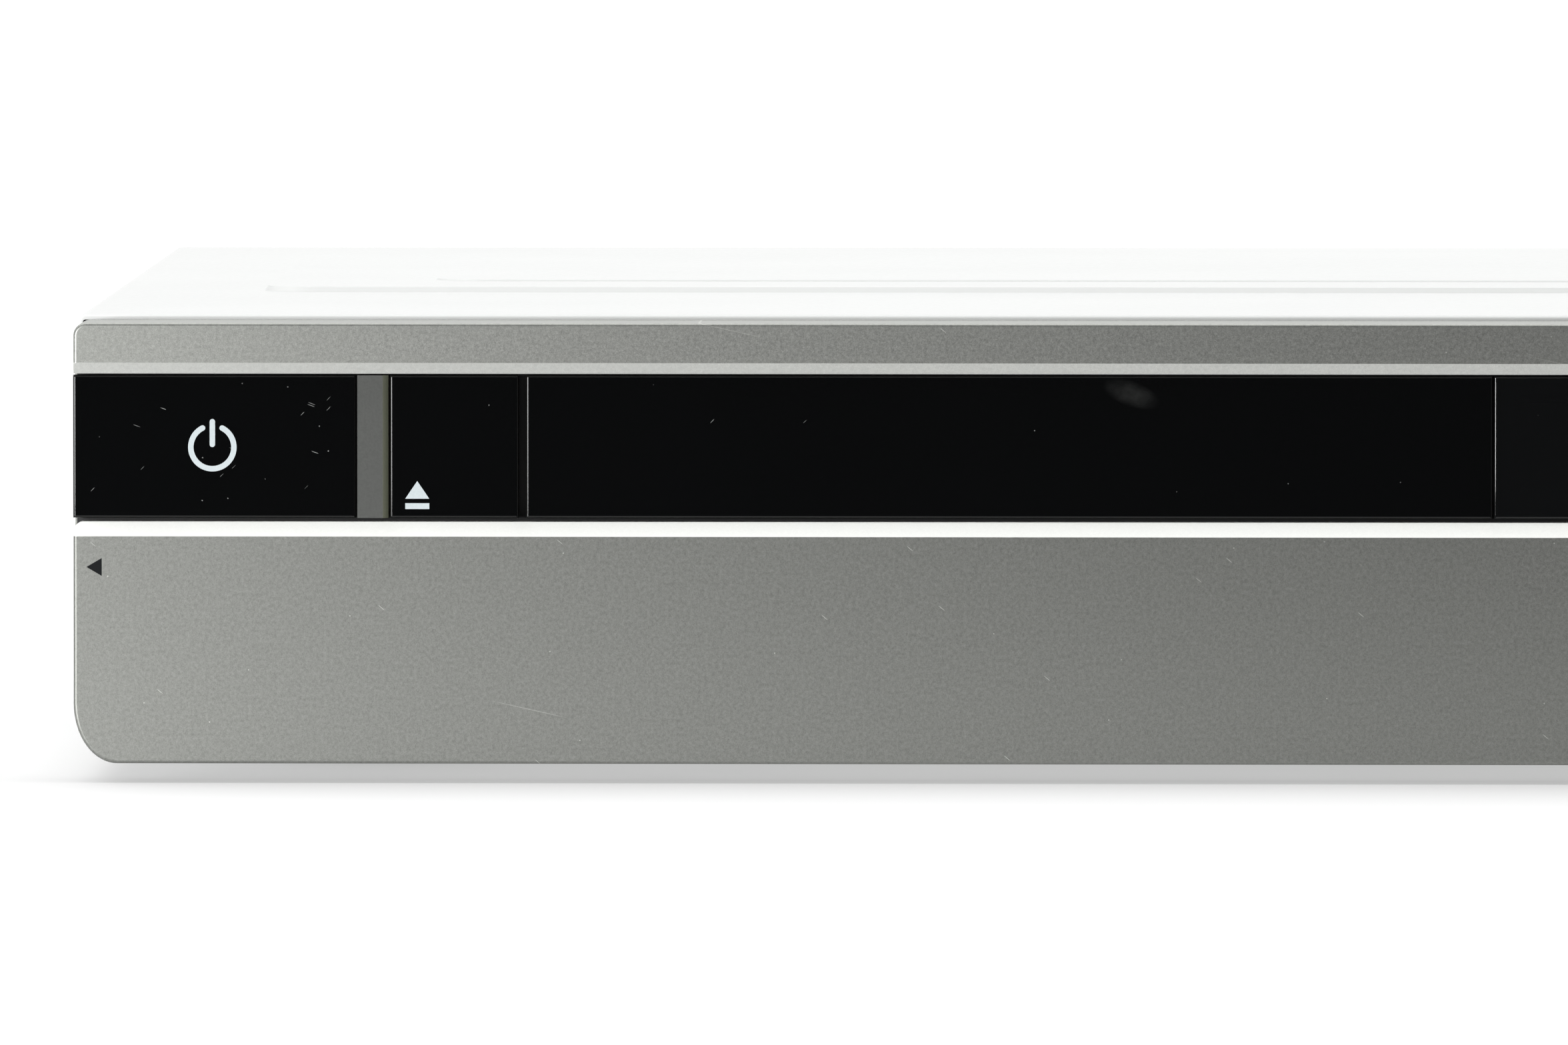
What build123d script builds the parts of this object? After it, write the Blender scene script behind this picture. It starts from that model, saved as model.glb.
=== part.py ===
"""Full-width disc player with a motor-driven tray: case, front, loader and electronics, in millimetres.

X runs to the right seen from the front, Y to the back, Z up. The origin is on the table, under the middle of
the deck. Depths are counted from the silver face of the front, and behind() turns one into a Y.
"""

from build123d import *
import os
from math import acos, atan2, cos, degrees, pi, radians, sin, sqrt, tan

os.makedirs("parts", exist_ok=True)

# Case
case_width = 430.0  # over the black band
body_depth = 321.0  # silver face to the outside of the rear panel
jack_reach = 9.0  # jack barrels, past the rear panel
pan_lift = 6.0  # table to the underside of the pan
pan_sheet = 1.0
pan_side_lip = 14.0
pan_end_lip = 6.5
pan_bend = 0.9  # outside radius of the pan's two long bends
cover_sheet = 0.8
cover_margin = 0.1  # cover side, inside the widest part of the front
cover_rise = 0.8  # cover top, above the brow's top
cover_front_round = 0.6
cover_skirt = 12.0  # height of the cover's lower edge
cover_bend = 1.2  # outside radius of the two long bends
cover_tail = 9.0  # height of the cover's rear flange
field_front = 112.0  # front edge of the raised field
field_margin = 24.0
field_rise = 0.8
field_radius = 8.0
inner_field_inset = 26.0
inner_field_rise = 0.25
press_taper = 35.0  # degrees
rear_gap = 0.2  # rear panel to the cover's sheet
vent_front = 128.0
vent_pitch = 8.0
vent_count = 18
vent_height = 12.0
vent_width = 2.4
vent_row_pitch = 16.0
vent_drop = 24.2  # middle of the two rows, below the cover's top

# Feet and screws
foot_radius = 17.0
foot_pad_radius = 12.0
foot_pad_thick = 2.0
foot_margin = 45.0  # foot axis to the side
foot_front = 75.0
foot_back = 51.0  # rear foot axis to the rear panel
screw_shank = 1.45
screw_hole = 1.6
screw_head = 3.1
flat_head_thick = 0.95
round_head_thick = 1.6
foot_head_thick = 1.8
shank_length = 5.0
side_screw_rise = 10.0
side_screw_front = 60.0
side_screw_back = 41.0
rear_screw_margin = 35.0
rear_screw_drop = 5.0

# Front
flap_lift = 3.0  # table to the flap's lower edge
flap_height = 37.0
flap_bevel = 2.2  # bevel along the flap's upper edge
flap_cheek = 8.0  # depth of the flap's end cheeks
flap_wall = 2.2
flap_return = 2.0  # thickness of the flap's top return and cheeks
flap_hinge = 6.0  # hinge axis, behind the flap's face and above its lower edge
flap_clear = 0.5
corner_x = 6.7  # rounded lower corner, across
corner_z = 9.2  # rounded lower corner, up
band_seam = 0.55
band_height = 21.85
band_recess = 2.2
band_plate = 2.5
brow_seam = 0.3
brow_height = 7.8
brow_bevel = 1.7
brow_bevel_depth = 1.2
brow_radius = 2.0  # upper end corners
flap_end_round = 1.5  # flap's upper end corners
silver_inset = 0.15  # silver ends, inside the black band's ends
bezel_wall = 2.2
inner_wall = 2.5
bezel_depth = 14.0
skirt_thick = 1.4
edge_round = 0.35
silver_round = 0.5  # front edges of the brow and the flap
skirt_lift = 0.4  # bezel's lower edge, above the flap's
skirt_corner = 8.0
lug_radius = 3.3
lug_width = 5.0
lug_inset = 5.35
lug_height = 9.0
hinge_pin_radius = 1.5
hinge_pin_skin = 1.3  # cheek left outside the pin's blind hole
pin_end_gap = 0.2
damper_length = 5.5
catch_x = 30.0
catch_drop = 7.0  # below the flap's upper edge
catch_size = 7.0
striker = 2.0
striker_reach = 3.0
catch_clear = 0.6

key_gap = 0.25
power_width = 43.3
strip_width = 4.75
strip_bevel = 0.85  # on the side toward the middle of the front
eject_width = 19.65
door_seam = 1.2
door_width = 147.8
key_space = 1.5  # behind the keys, up to the inner wall
key_travel = 0.8
key_spare = 0.4  # stem to switch with the key pressed
stem = 6.0
stem_clear = 0.3
switch_size = 6.0
switch_height = 3.5
plunger_radius = 1.6
plunger_height = 0.5
guide_size = 3.0  # square leg of a divider strip
guide_clear = 0.2
lamp_radius = 1.5
lamp_height = 3.7

# Boards
board = 1.6
board_margin = 1.2  # board edge to the pan's side
front_board_depth = 17.6
jack_board_depth = 21.0
post_thick = 2.0  # radius of the bezel's posts
standoff_height = 6.0
standoff_radius = 4.0
display_width = 96.0
display_height = 17.0
display_lead = 12.0  # display's left end, past the tray door
display_thick = 6.0

# Loader, widths and depths
loader_width = 147.0
loader_front = 15.5
loader_wall = 2.5
loader_tail = 18.5  # past the tray's rear end
tray_width = 136.0
tray_run = 0.3  # running gap of the tray in its guides
tray_travel = 140.0
tray_side_gap = 0.4
rack_spare = 7.0  # rack left behind the tray gear with the tray out
disc_radius = 60.0
small_disc_radius = 40.0
disc_play = 1.0
slot_width = 46.0
gear_module = 1.0
gear_teeth = 24
pinion_teeth = 12
backlash = 0.16
gear_x = -43.0  # tray gear's axis, from the loader's middle
gear_thick = 4.6
gear_hub = 3.4
post_radius = 2.0
post_height = 12.6
running = 0.05  # radial clearance of bores on posts and pins
pulley_radius = 14.0
pulley_groove = 13.0
motor_groove = 2.6
motor_rim = 1.4
pulley_thick = 4.0
motor_shaft = 1.0
belt_thick = 1.2
belt_clear = 0.08
motor_x = 20.0
loading_motor_radius = 10.0
loading_motor_height = 11.0
slider_thick = 3.0
slider_travel = 20.0
slider_left = 50.0
slider_right = 40.0
cam_pin_radius = 2.0
cam_clear = 0.3
peg_radius = 1.9
peg_length = 4.5
peg_places = (-25.0, 28.0)
traverse_width = 92.0
traverse_lead = 22.0  # spindle behind the traverse's front edge
traverse_tail = 12.0
pivot_inset = 4.0
pivot_radius = 2.0
pivot_length = 9.0
ear_width = 7.5
ear_gap = 2.5
tilt = 3.0  # degrees that the traverse drops
rod_radius = 1.5
rod_spread = 27.5
bracket_thick = 4.0
pickup_length = 30.0
pickup_travel = 35.0
lens_inset = 7.5
screw_x = 38.0
screw_radius = 1.5
sled_motor_radius = 6.0
sled_motor_length = 13.0
spindle_motor_radius = 12.5
spindle_shaft = 1.2
turntable_radius = 15.0
hub_radius = 7.4
clamper_radius = 14.0
clamper_neck = 8.0
bridge_length = 44.0
bridge_sheet = 1.2
bridge_hole = 9.0

# Loader, heights
loader_stand = 13.0  # brackets under the loader
bracket_sheet = 1.2
tray_below_band = 5.4  # tray's rim, below the top of the black band
rim_height = 3.5
tray_thick = 4.0  # under the disc
rack_height = 5.2
deck_gap = 8.3  # under the rack
deck_thick = 2.0
traverse_gap = 7.5  # top of the traverse plate, below the tray
traverse_thick = 2.0
rod_rise = 3.0  # rod axis above the traverse plate
screw_sink = 6.3  # lead screw axis below the traverse plate
disc_lift = 2.5  # clamped disc above the tray's floor
bridge_gap = 4.0  # above the tray's rim

# Electronics
barrel_radius = 4.15
barrel_bore = 3.35
barrel_clear = 0.3
contact_radius = 1.6
front_barrel_pitch = 13.0
rear_barrel_pitch = 14.0
round_socket_radius = 4.9
scart_width = 48.0
scart_height = 16.0
scart_rim = 1.5
scart_length = 20.0
scart_depth = 9.0
scart_stand = 2.0  # shell past the rear panel
scart_pitch = 54.0
blade_count = 10
blade_pitch = 3.8
panel_clear = 0.3
aerial_radius = 4.9
aerial_pitch = 15.0
tuner_width = 30.0
tuner_length = 58.2
tuner_height = 20.0
inlet_width = 22.0
inlet_height = 15.0
inlet_length = 21.0
inlet_mouth_width = 16.6
inlet_mouth_height = 8.6
inlet_mouth_depth = 12.0
inlet_pin_radius = 1.2
inlet_pin_pitch = 8.6
fan_size = 40.0
fan_thick = 10.0
fan_bore = 18.5
fan_screw_pitch = 32.0
fan_hub = 9.5
fan_blades = 7
fan_rise = 27.0  # fan axis above the pan
ribbon_width = 20.0
ribbon_thick = 0.5

# Places worked out from the sizes
front_y = -(body_depth + jack_reach) / 2
half = case_width / 2
silver_half = half - silver_inset
flap_top = flap_lift + flap_height
band_bottom = flap_top + band_seam
band_top = band_bottom + band_height
band_middle = (band_bottom + band_top) / 2
brow_bottom = band_top + brow_seam
case_top = brow_bottom + brow_height
cover_half = half - cover_margin
cover_top = case_top + cover_rise
cover_inside = cover_top - cover_sheet
pan_half = cover_half - cover_sheet
pan_top = pan_lift + pan_sheet
rear_inside = body_depth - cover_sheet
cover_end = body_depth + cover_sheet
band_back = band_recess + band_plate
inner_front = band_back + key_space
inner_back = inner_front + inner_wall
fascia_back = inner_back + inner_wall
stem_end = front_board_depth - switch_height - plunger_height - key_travel - key_spare

power_right = -half + power_width
strip_left = power_right + key_gap
strip_right = strip_left + strip_width
eject_left = strip_right + key_gap
eject_right = eject_left + eject_width
door_left = eject_right + door_seam
door_right = door_left + door_width
display_window_left = door_right + key_gap
display_window_right = -eject_right
key_centres = [(-half + power_right) / 2, (eject_left + eject_right) / 2]
key_centres += [-x for x in reversed(key_centres)]
strip_centres = [(strip_left + strip_right) / 2, -(strip_left + strip_right) / 2]

loader_x = (door_left + door_right) / 2
loader_half = loader_width / 2
loader_inside = loader_half - loader_wall
tray_half = tray_width / 2
gear_radius = gear_module * gear_teeth / 2
pinion_radius = gear_module * pinion_teeth / 2
pinion_x = gear_x + gear_radius + pinion_radius
gear_depth = loader_front + loader_wall + pulley_radius + 3.0
slider_front = gear_depth + pulley_radius + 1.5
slider_back = slider_front + slider_thick
traverse_front = slider_back + 2.5
spindle_depth = traverse_front + traverse_lead
pickup_front = spindle_depth + turntable_radius + 0.5
pickup_rear = pickup_front + pickup_length
bracket_front = pickup_front - 5.5 - bracket_thick
traverse_window_rear = pickup_rear + pickup_travel + 1.0
bracket_rear = traverse_window_rear + 0.5
traverse_end = bracket_rear + bracket_thick + traverse_tail
pivot_depth = traverse_end - pivot_inset
tray_end = gear_depth + tray_travel + rack_spare
loader_rear = tray_end + loader_tail

loader_base = pan_top + loader_stand
loader_floor = loader_base + loader_wall
tray_rim = band_top - tray_below_band
tray_floor = tray_rim - rim_height
tray_under = tray_floor - tray_thick
rack_base = tray_under - rack_height
deck_top = rack_base - deck_gap
deck_base = deck_top - deck_thick
traverse_top = tray_under - traverse_gap
traverse_base = traverse_top - traverse_thick
pivot_z = traverse_base + traverse_thick / 2
rod_z = traverse_top + rod_rise
screw_z = traverse_base - screw_sink
disc_plane = tray_floor + disc_lift
loader_top = tray_rim + bridge_gap
board_base = pan_top + standoff_height
board_top = board_base + board

RIGHT = (1, 0, 0)
LEFT = (-1, 0, 0)
BACK = (0, 1, 0)
FRONT = (0, -1, 0)
UP = (0, 0, 1)
DOWN = (0, 0, -1)


def behind(depth):
    """Y of a place that lies depth behind the silver face."""
    return front_y + depth


def loader(offset):
    """X of a place counted from the loader's middle."""
    return loader_x + offset


def block(x0, x1, depth0, depth1, z0, z1, mode=Mode.ADD):
    """A box between six limits, its depths counted from the silver face."""
    with Locations((x0, behind(depth0), z0)):
        Box(x1 - x0, depth1 - depth0, z1 - z0, align=(Align.MIN, Align.MIN, Align.MIN), mode=mode)


def cut(x0, x1, depth0, depth1, z0, z1):
    """Remove a box between six limits."""
    block(x0, x1, depth0, depth1, z0, z1, mode=Mode.SUBTRACT)


def bar(x, depth, z, toward, radius, length, mode=Mode.ADD):
    """A round bar that starts at a point and runs along toward."""
    with Locations(Plane(origin=(x, behind(depth), z), z_dir=toward)):
        Cylinder(radius, length, align=(Align.CENTER, Align.CENTER, Align.MIN), mode=mode)


def bore(x, depth, z, toward, radius, length):
    """Remove a round bar."""
    bar(x, depth, z, toward, radius, length, mode=Mode.SUBTRACT)


def span(side, inner, outer, place=0.0):
    """The two X limits of a piece between inner and outer on one side of a middle plane, low one first."""
    return sorted((place + side * inner, place + side * outer))


def facing(depth):
    """A vertical sketch plane at a depth, whose extrusions run toward the front."""
    return Plane.XZ.offset(-behind(depth))


def soften_front(piece):
    """Round the outline of a piece's foremost flat face."""
    front_face = piece.faces().filter_by(Axis.Y).sort_by(Axis.Y)[0]
    fillet(front_face.edges(), edge_round)


def lower_outline(depth, inset_side, inset_bottom, inset_top):
    """The flap's outline seen from the front, its two lower corners quarter ellipses."""
    side = silver_half - inset_side
    bottom = flap_lift + inset_bottom
    top = flap_top - inset_top
    across = corner_x - inset_side
    rise = corner_z - inset_bottom
    with BuildSketch(facing(depth)) as outline:
        with BuildLine():
            Line((-side, bottom + rise), (-side, top))
            Line((-side, top), (side, top))
            Line((side, top), (side, bottom + rise))
            EllipticalCenterArc((side - across, bottom + rise), across, rise, start_angle=270, arc_size=90)
            Line((side - across, bottom), (-side + across, bottom))
            EllipticalCenterArc((-side + across, bottom + rise), across, rise, start_angle=180, arc_size=90)
        make_face()
    return outline.sketch


def involute(radius, base_radius):
    """Involute angle of a gear flank at a radius, in radians."""
    if radius <= base_radius:
        return 0.0
    pressure = acos(base_radius / radius)
    return tan(pressure) - pressure


def gear_outline(x, z, teeth, first_tooth):
    """Spur gear with involute flanks on the gears' common depth, its first tooth at an angle from +X."""
    pitch = gear_module * teeth / 2
    base = pitch * cos(radians(20))
    tip = pitch + 0.85 * gear_module
    radii = [(base + pitch) / 2, pitch, (pitch + tip) / 2, tip]
    half_tooth = pi / (2 * teeth) - backlash / (2 * pitch)
    spans = [half_tooth + involute(pitch, base) - involute(radius, base) for radius in radii]
    radii.insert(0, pitch - 1.15 * gear_module)
    spans.insert(0, spans[0] * 1.05)
    points = []
    for tooth in range(teeth):
        centre = radians(first_tooth) + 2 * pi * tooth / teeth
        rising = list(zip(radii, spans))
        points += [(radius * cos(centre - turn), radius * sin(centre - turn)) for radius, turn in rising]
        falling = rising[::-1]
        points += [(radius * cos(centre + turn), radius * sin(centre + turn)) for radius, turn in falling]
    with BuildSketch(Plane.XY.offset(z)) as outline:
        with Locations((loader(x), behind(gear_depth))):
            Polygon(*points, align=None)
    return outline.sketch


# ---- Pan and feet
left_bay = (-pan_half + board_margin, loader(-loader_half))  # between the pan's side and the loader
right_bay = (loader(loader_half), pan_half - board_margin)
power_edges = (left_bay[0] + 3.0, left_bay[1] - 5.3)
power_depths = (152.0, rear_inside - 2.2)
main_edges = (right_bay[0] + 12.2, right_bay[1] - 6.0)
main_depths = (118.0, rear_inside - 2.2)
foot_depths = (foot_front, body_depth - foot_back)
foot_places = [(side * (half - foot_margin), depth) for side in (-1, 1) for depth in foot_depths]
side_screw_depths = (side_screw_front, body_depth - side_screw_back)
rear_screw_xs = (-half + rear_screw_margin, 0.0, half - rear_screw_margin)
standoff_inset = 7.0
drain_x = 90.0
drain_depth = 60.0


def corners(edges, depths, inset):
    """The four corner places of a board, an inset from its edges."""
    return [
        (x, depth)
        for x in (edges[0] + inset, edges[1] - inset)
        for depth in (depths[0] + inset, depths[1] - inset)
    ]


standoffs = corners(power_edges, power_depths, standoff_inset)
standoffs += corners(main_edges, main_depths, standoff_inset)
standoffs.append((sum(main_edges) / 2, sum(main_depths) / 2))

with BuildPart() as base_chassis:
    block(-pan_half, pan_half, bezel_depth, rear_inside, pan_lift, pan_top)
    for depth in (bezel_depth, rear_inside - pan_sheet):
        block(-pan_half, pan_half, depth, depth + pan_sheet, pan_top, pan_top + pan_end_lip)
    for side in (-1, 1):
        lip = span(side, pan_half - pan_sheet, pan_half)
        block(*lip, bezel_depth, rear_inside, pan_top, pan_top + pan_side_lip)
        for depth in side_screw_depths:
            bore(lip[0], depth, pan_top + side_screw_rise, RIGHT, screw_hole, pan_sheet)
    for x, depth in standoffs:
        bar(x, depth, pan_top, UP, standoff_radius, standoff_height)
    for x, depth in foot_places:
        bore(x, depth, pan_lift, UP, screw_hole, pan_sheet)
    with BuildSketch(Plane.XY.offset(pan_lift)):
        with Locations((drain_x, behind(drain_depth))):
            with GridLocations(9, 26, 12, 2):
                SlotOverall(20, 3, rotation=90)
    extrude(amount=pan_sheet, mode=Mode.SUBTRACT)
    long_edges = base_chassis.edges().filter_by(Axis.Y).group_by(Axis.Z)[0]
    fillet(long_edges.filter_by(lambda edge: abs(abs(edge.center().X) - pan_half) < 0.01), pan_bend)

foot_step = 0.6
pocket_gap = 0.1
head_pocket_radius = screw_head + 0.4
head_pocket_top = foot_pad_thick + foot_head_thick + 0.2

with BuildPart() as feet:
    for x, depth in foot_places:
        with BuildSketch(Plane(origin=(x, behind(depth), 0), x_dir=RIGHT, z_dir=FRONT)):
            with BuildLine():
                Polyline(
                    (screw_hole, pan_lift),
                    (foot_radius - 2.5, pan_lift),
                    (foot_radius, 2 * foot_step),
                    (foot_radius - foot_step, foot_step),
                    (foot_pad_radius + pocket_gap, foot_step),
                    (foot_pad_radius + pocket_gap, foot_pad_thick),
                    (head_pocket_radius, foot_pad_thick),
                    (head_pocket_radius, head_pocket_top),
                    (screw_hole, head_pocket_top),
                    (screw_hole, pan_lift),
                )
            make_face()
        revolve(axis=Axis((x, behind(depth), 0), UP))

with BuildPart() as foot_pads:
    for x, depth in foot_places:
        bar(x, depth, 0, UP, foot_pad_radius, foot_pad_thick)

with BuildPart() as foot_screws:
    for x, depth in foot_places:
        bar(x, depth, head_pocket_top - foot_head_thick, UP, screw_head, foot_head_thick)
        bar(x, depth, head_pocket_top, UP, screw_shank, pan_top + 3.0 - head_pocket_top)

# ---- Cover and rear panel
with BuildPart() as top_cover:
    with BuildSketch(facing(cover_end)) as section:
        with Locations((0, (cover_top + cover_skirt) / 2)):
            Rectangle(2 * cover_half, cover_top - cover_skirt)
        fillet(section.vertices().group_by(Axis.Y)[-1], cover_bend)
        with Locations((0, cover_skirt)):
            Rectangle(2 * pan_half, 2 * (cover_inside - cover_skirt), mode=Mode.SUBTRACT)
        inner_corners = section.vertices().filter_by(lambda v: abs(v.Y - cover_inside) < 0.01)
        fillet(inner_corners, cover_bend - cover_sheet)
    extrude(amount=cover_end - bezel_depth)
    front_edges = top_cover.edges().filter_by(Axis.X).group_by(Axis.Y)[0]
    fillet(front_edges.sort_by(Axis.Z)[-1], cover_front_round)
    block(-pan_half, pan_half, body_depth, cover_end, cover_top - cover_tail, cover_inside)
    level = cover_top
    inset = 0.0
    for rise in (field_rise, inner_field_rise):
        width = 2 * (cover_half - field_margin - inset)
        length = body_depth - field_margin - field_front - 2 * inset
        middle = behind(field_front + inset + length / 2)
        for sheet, mode in ((0.0, Mode.ADD), (cover_sheet, Mode.SUBTRACT)):
            with BuildSketch(Plane.XY.offset(level - sheet)):
                with Locations((0, middle)):
                    RectangleRounded(width - 2 * sheet, length - 2 * sheet, field_radius - sheet)
            extrude(amount=rise, taper=press_taper, mode=mode)
        level += rise
        inset += inner_field_inset
    with BuildSketch(Plane.YZ.offset(-half)):
        with Locations((behind(vent_front + vent_pitch * vent_count / 2), cover_top - vent_drop)):
            with GridLocations(vent_pitch, vent_row_pitch, vent_count, 2):
                SlotOverall(vent_height, vent_width, rotation=90)
    extrude(amount=case_width, mode=Mode.SUBTRACT)
    for side in (-1, 1):
        for depth in side_screw_depths:
            skin = span(side, pan_half, cover_half)
            bore(skin[0], depth, pan_top + side_screw_rise, RIGHT, screw_hole, cover_sheet)
    for x in rear_screw_xs:
        bore(x, body_depth, cover_top - rear_screw_drop, BACK, screw_hole, cover_sheet)

tuner_x = main_edges[1] - 2.0 - tuner_width / 2
tuner_z = board_top + 11.0
aerial_xs = (tuner_x - aerial_pitch / 2, tuner_x + aerial_pitch / 2)
scart_z = board_top + 1.5 + scart_height / 2
scart_xs = (tuner_x - 43.0 - scart_pitch, tuner_x - 43.0)
rear_block_left = main_edges[0] + 3.0
rear_block_width = 40.5
rear_barrels = [
    (rear_block_left + 6.0 + rear_barrel_pitch * column, board_top + 8.5 + rear_barrel_pitch * row)
    for column in range(3)
    for row in range(2)
]
inlet_x = power_edges[0] + 24.0
inlet_z = board_top + 8.0
fan_x = loader(-28.3)
fan_z = pan_top + fan_rise
fan_screw_offsets = (-fan_screw_pitch / 2, fan_screw_pitch / 2)
fan_screws = [(fan_x + across, fan_z + rise) for across in fan_screw_offsets for rise in fan_screw_offsets]
rear_vent_x = loader(31.7)


def scart_outline(depth, width, height):
    """Outline of both video sockets, two lower corners cut slanting."""
    slant = height * 0.45
    with BuildSketch(facing(depth)) as outline:
        for x in scart_xs:
            with Locations((x, scart_z)):
                Polygon(
                    (-width / 2, height / 2),
                    (width / 2, height / 2),
                    (width / 2, -height / 2 + slant),
                    (width / 2 - slant, -height / 2),
                    (-width / 2, -height / 2),
                    align=None,
                )
    return outline.sketch


with BuildPart() as rear_panel:
    panel_half = pan_half - rear_gap
    block(-panel_half, panel_half, rear_inside, body_depth, pan_lift, cover_inside - rear_gap)
    fillet(rear_panel.edges().filter_by(Axis.Y).group_by(Axis.Z)[-1], cover_bend - cover_sheet)
    socket_cut = scart_outline(body_depth, scart_width + 2 * panel_clear, scart_height + 2 * panel_clear)
    extrude(socket_cut, amount=cover_sheet, mode=Mode.SUBTRACT)
    for x, z in rear_barrels:
        bore(x, rear_inside, z, BACK, barrel_radius + barrel_clear, cover_sheet)
    for x in aerial_xs:
        bore(x, rear_inside, tuner_z, BACK, aerial_radius + barrel_clear, cover_sheet)
    for x in rear_screw_xs:
        bore(x, rear_inside, cover_top - rear_screw_drop, BACK, screw_hole, cover_sheet)
    with BuildSketch(facing(body_depth)):
        with Locations((inlet_x, inlet_z)):
            Rectangle(inlet_width + 2 * panel_clear, inlet_height + 2 * panel_clear)
        for ring, count in ((5.5, 6), (10.5, 12), (15.5, 18)):
            with Locations((fan_x, fan_z)):
                with PolarLocations(ring, count):
                    Circle(2.0)
        with Locations(*fan_screws):
            Circle(screw_hole)
        with Locations((rear_vent_x, fan_z + 6.0)):
            with GridLocations(6.0, 22.0, 8, 2):
                SlotOverall(16.0, 2.6, rotation=90)
    extrude(amount=cover_sheet, mode=Mode.SUBTRACT)

with BuildPart() as case_screws:
    for side, outward, inward in ((-1, LEFT, RIGHT), (1, RIGHT, LEFT)):
        for depth in side_screw_depths:
            bar(side * cover_half, depth, pan_top + side_screw_rise, outward, screw_head, flat_head_thick)
            bar(side * cover_half, depth, pan_top + side_screw_rise, inward, screw_shank, shank_length)
    for x in rear_screw_xs:
        bar(x, cover_end, cover_top - rear_screw_drop, BACK, screw_head, round_head_thick)
        bar(x, cover_end, cover_top - rear_screw_drop, FRONT, screw_shank, shank_length)
    for x, z in fan_screws:
        bar(x, body_depth, z, BACK, screw_head, round_head_thick)
        bar(x, body_depth, z, FRONT, screw_shank, cover_sheet + fan_thick - 2.8)

# ---- Bezel
hinge_z = flap_lift + flap_hinge
skirt_front = bezel_depth - skirt_thick
fascia_bottom = flap_lift + flap_cheek + flap_clear
aperture_bottom = rack_base - 1.0
aperture_top = tray_rim + 1.3
lug_out = silver_half - lug_inset
lug_in = lug_out - lug_width
jack_z = flap_lift + 23.0
first_barrel = left_bay[0] + 12.0
front_barrel_xs = [first_barrel + front_barrel_pitch * place for place in range(3)]
video_x = front_barrel_xs[-1] + 12.5
data_x = video_x + 10.0
key_posts = [(left_bay[0] + 6.0, band_bottom + 5.5), (left_bay[1] - 5.3, band_top - 4.4)]
display_posts = [
    (right_bay[0] + 7.7, band_bottom + 5.5),
    (sum(right_bay) / 2 + 13.0, band_top - 4.4),
    (right_bay[1] - 6.0, band_bottom + 5.5),
]
jack_posts = [
    (left_bay[0] + 3.5, jack_z - 8.5),
    (front_barrel_xs[1] + 6.5, jack_z + 10.0),
    (data_x + 1.0, jack_z + 10.0),
]
display_left = door_right + display_lead
display_right = display_left + display_width
display_opening = 14.0

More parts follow.
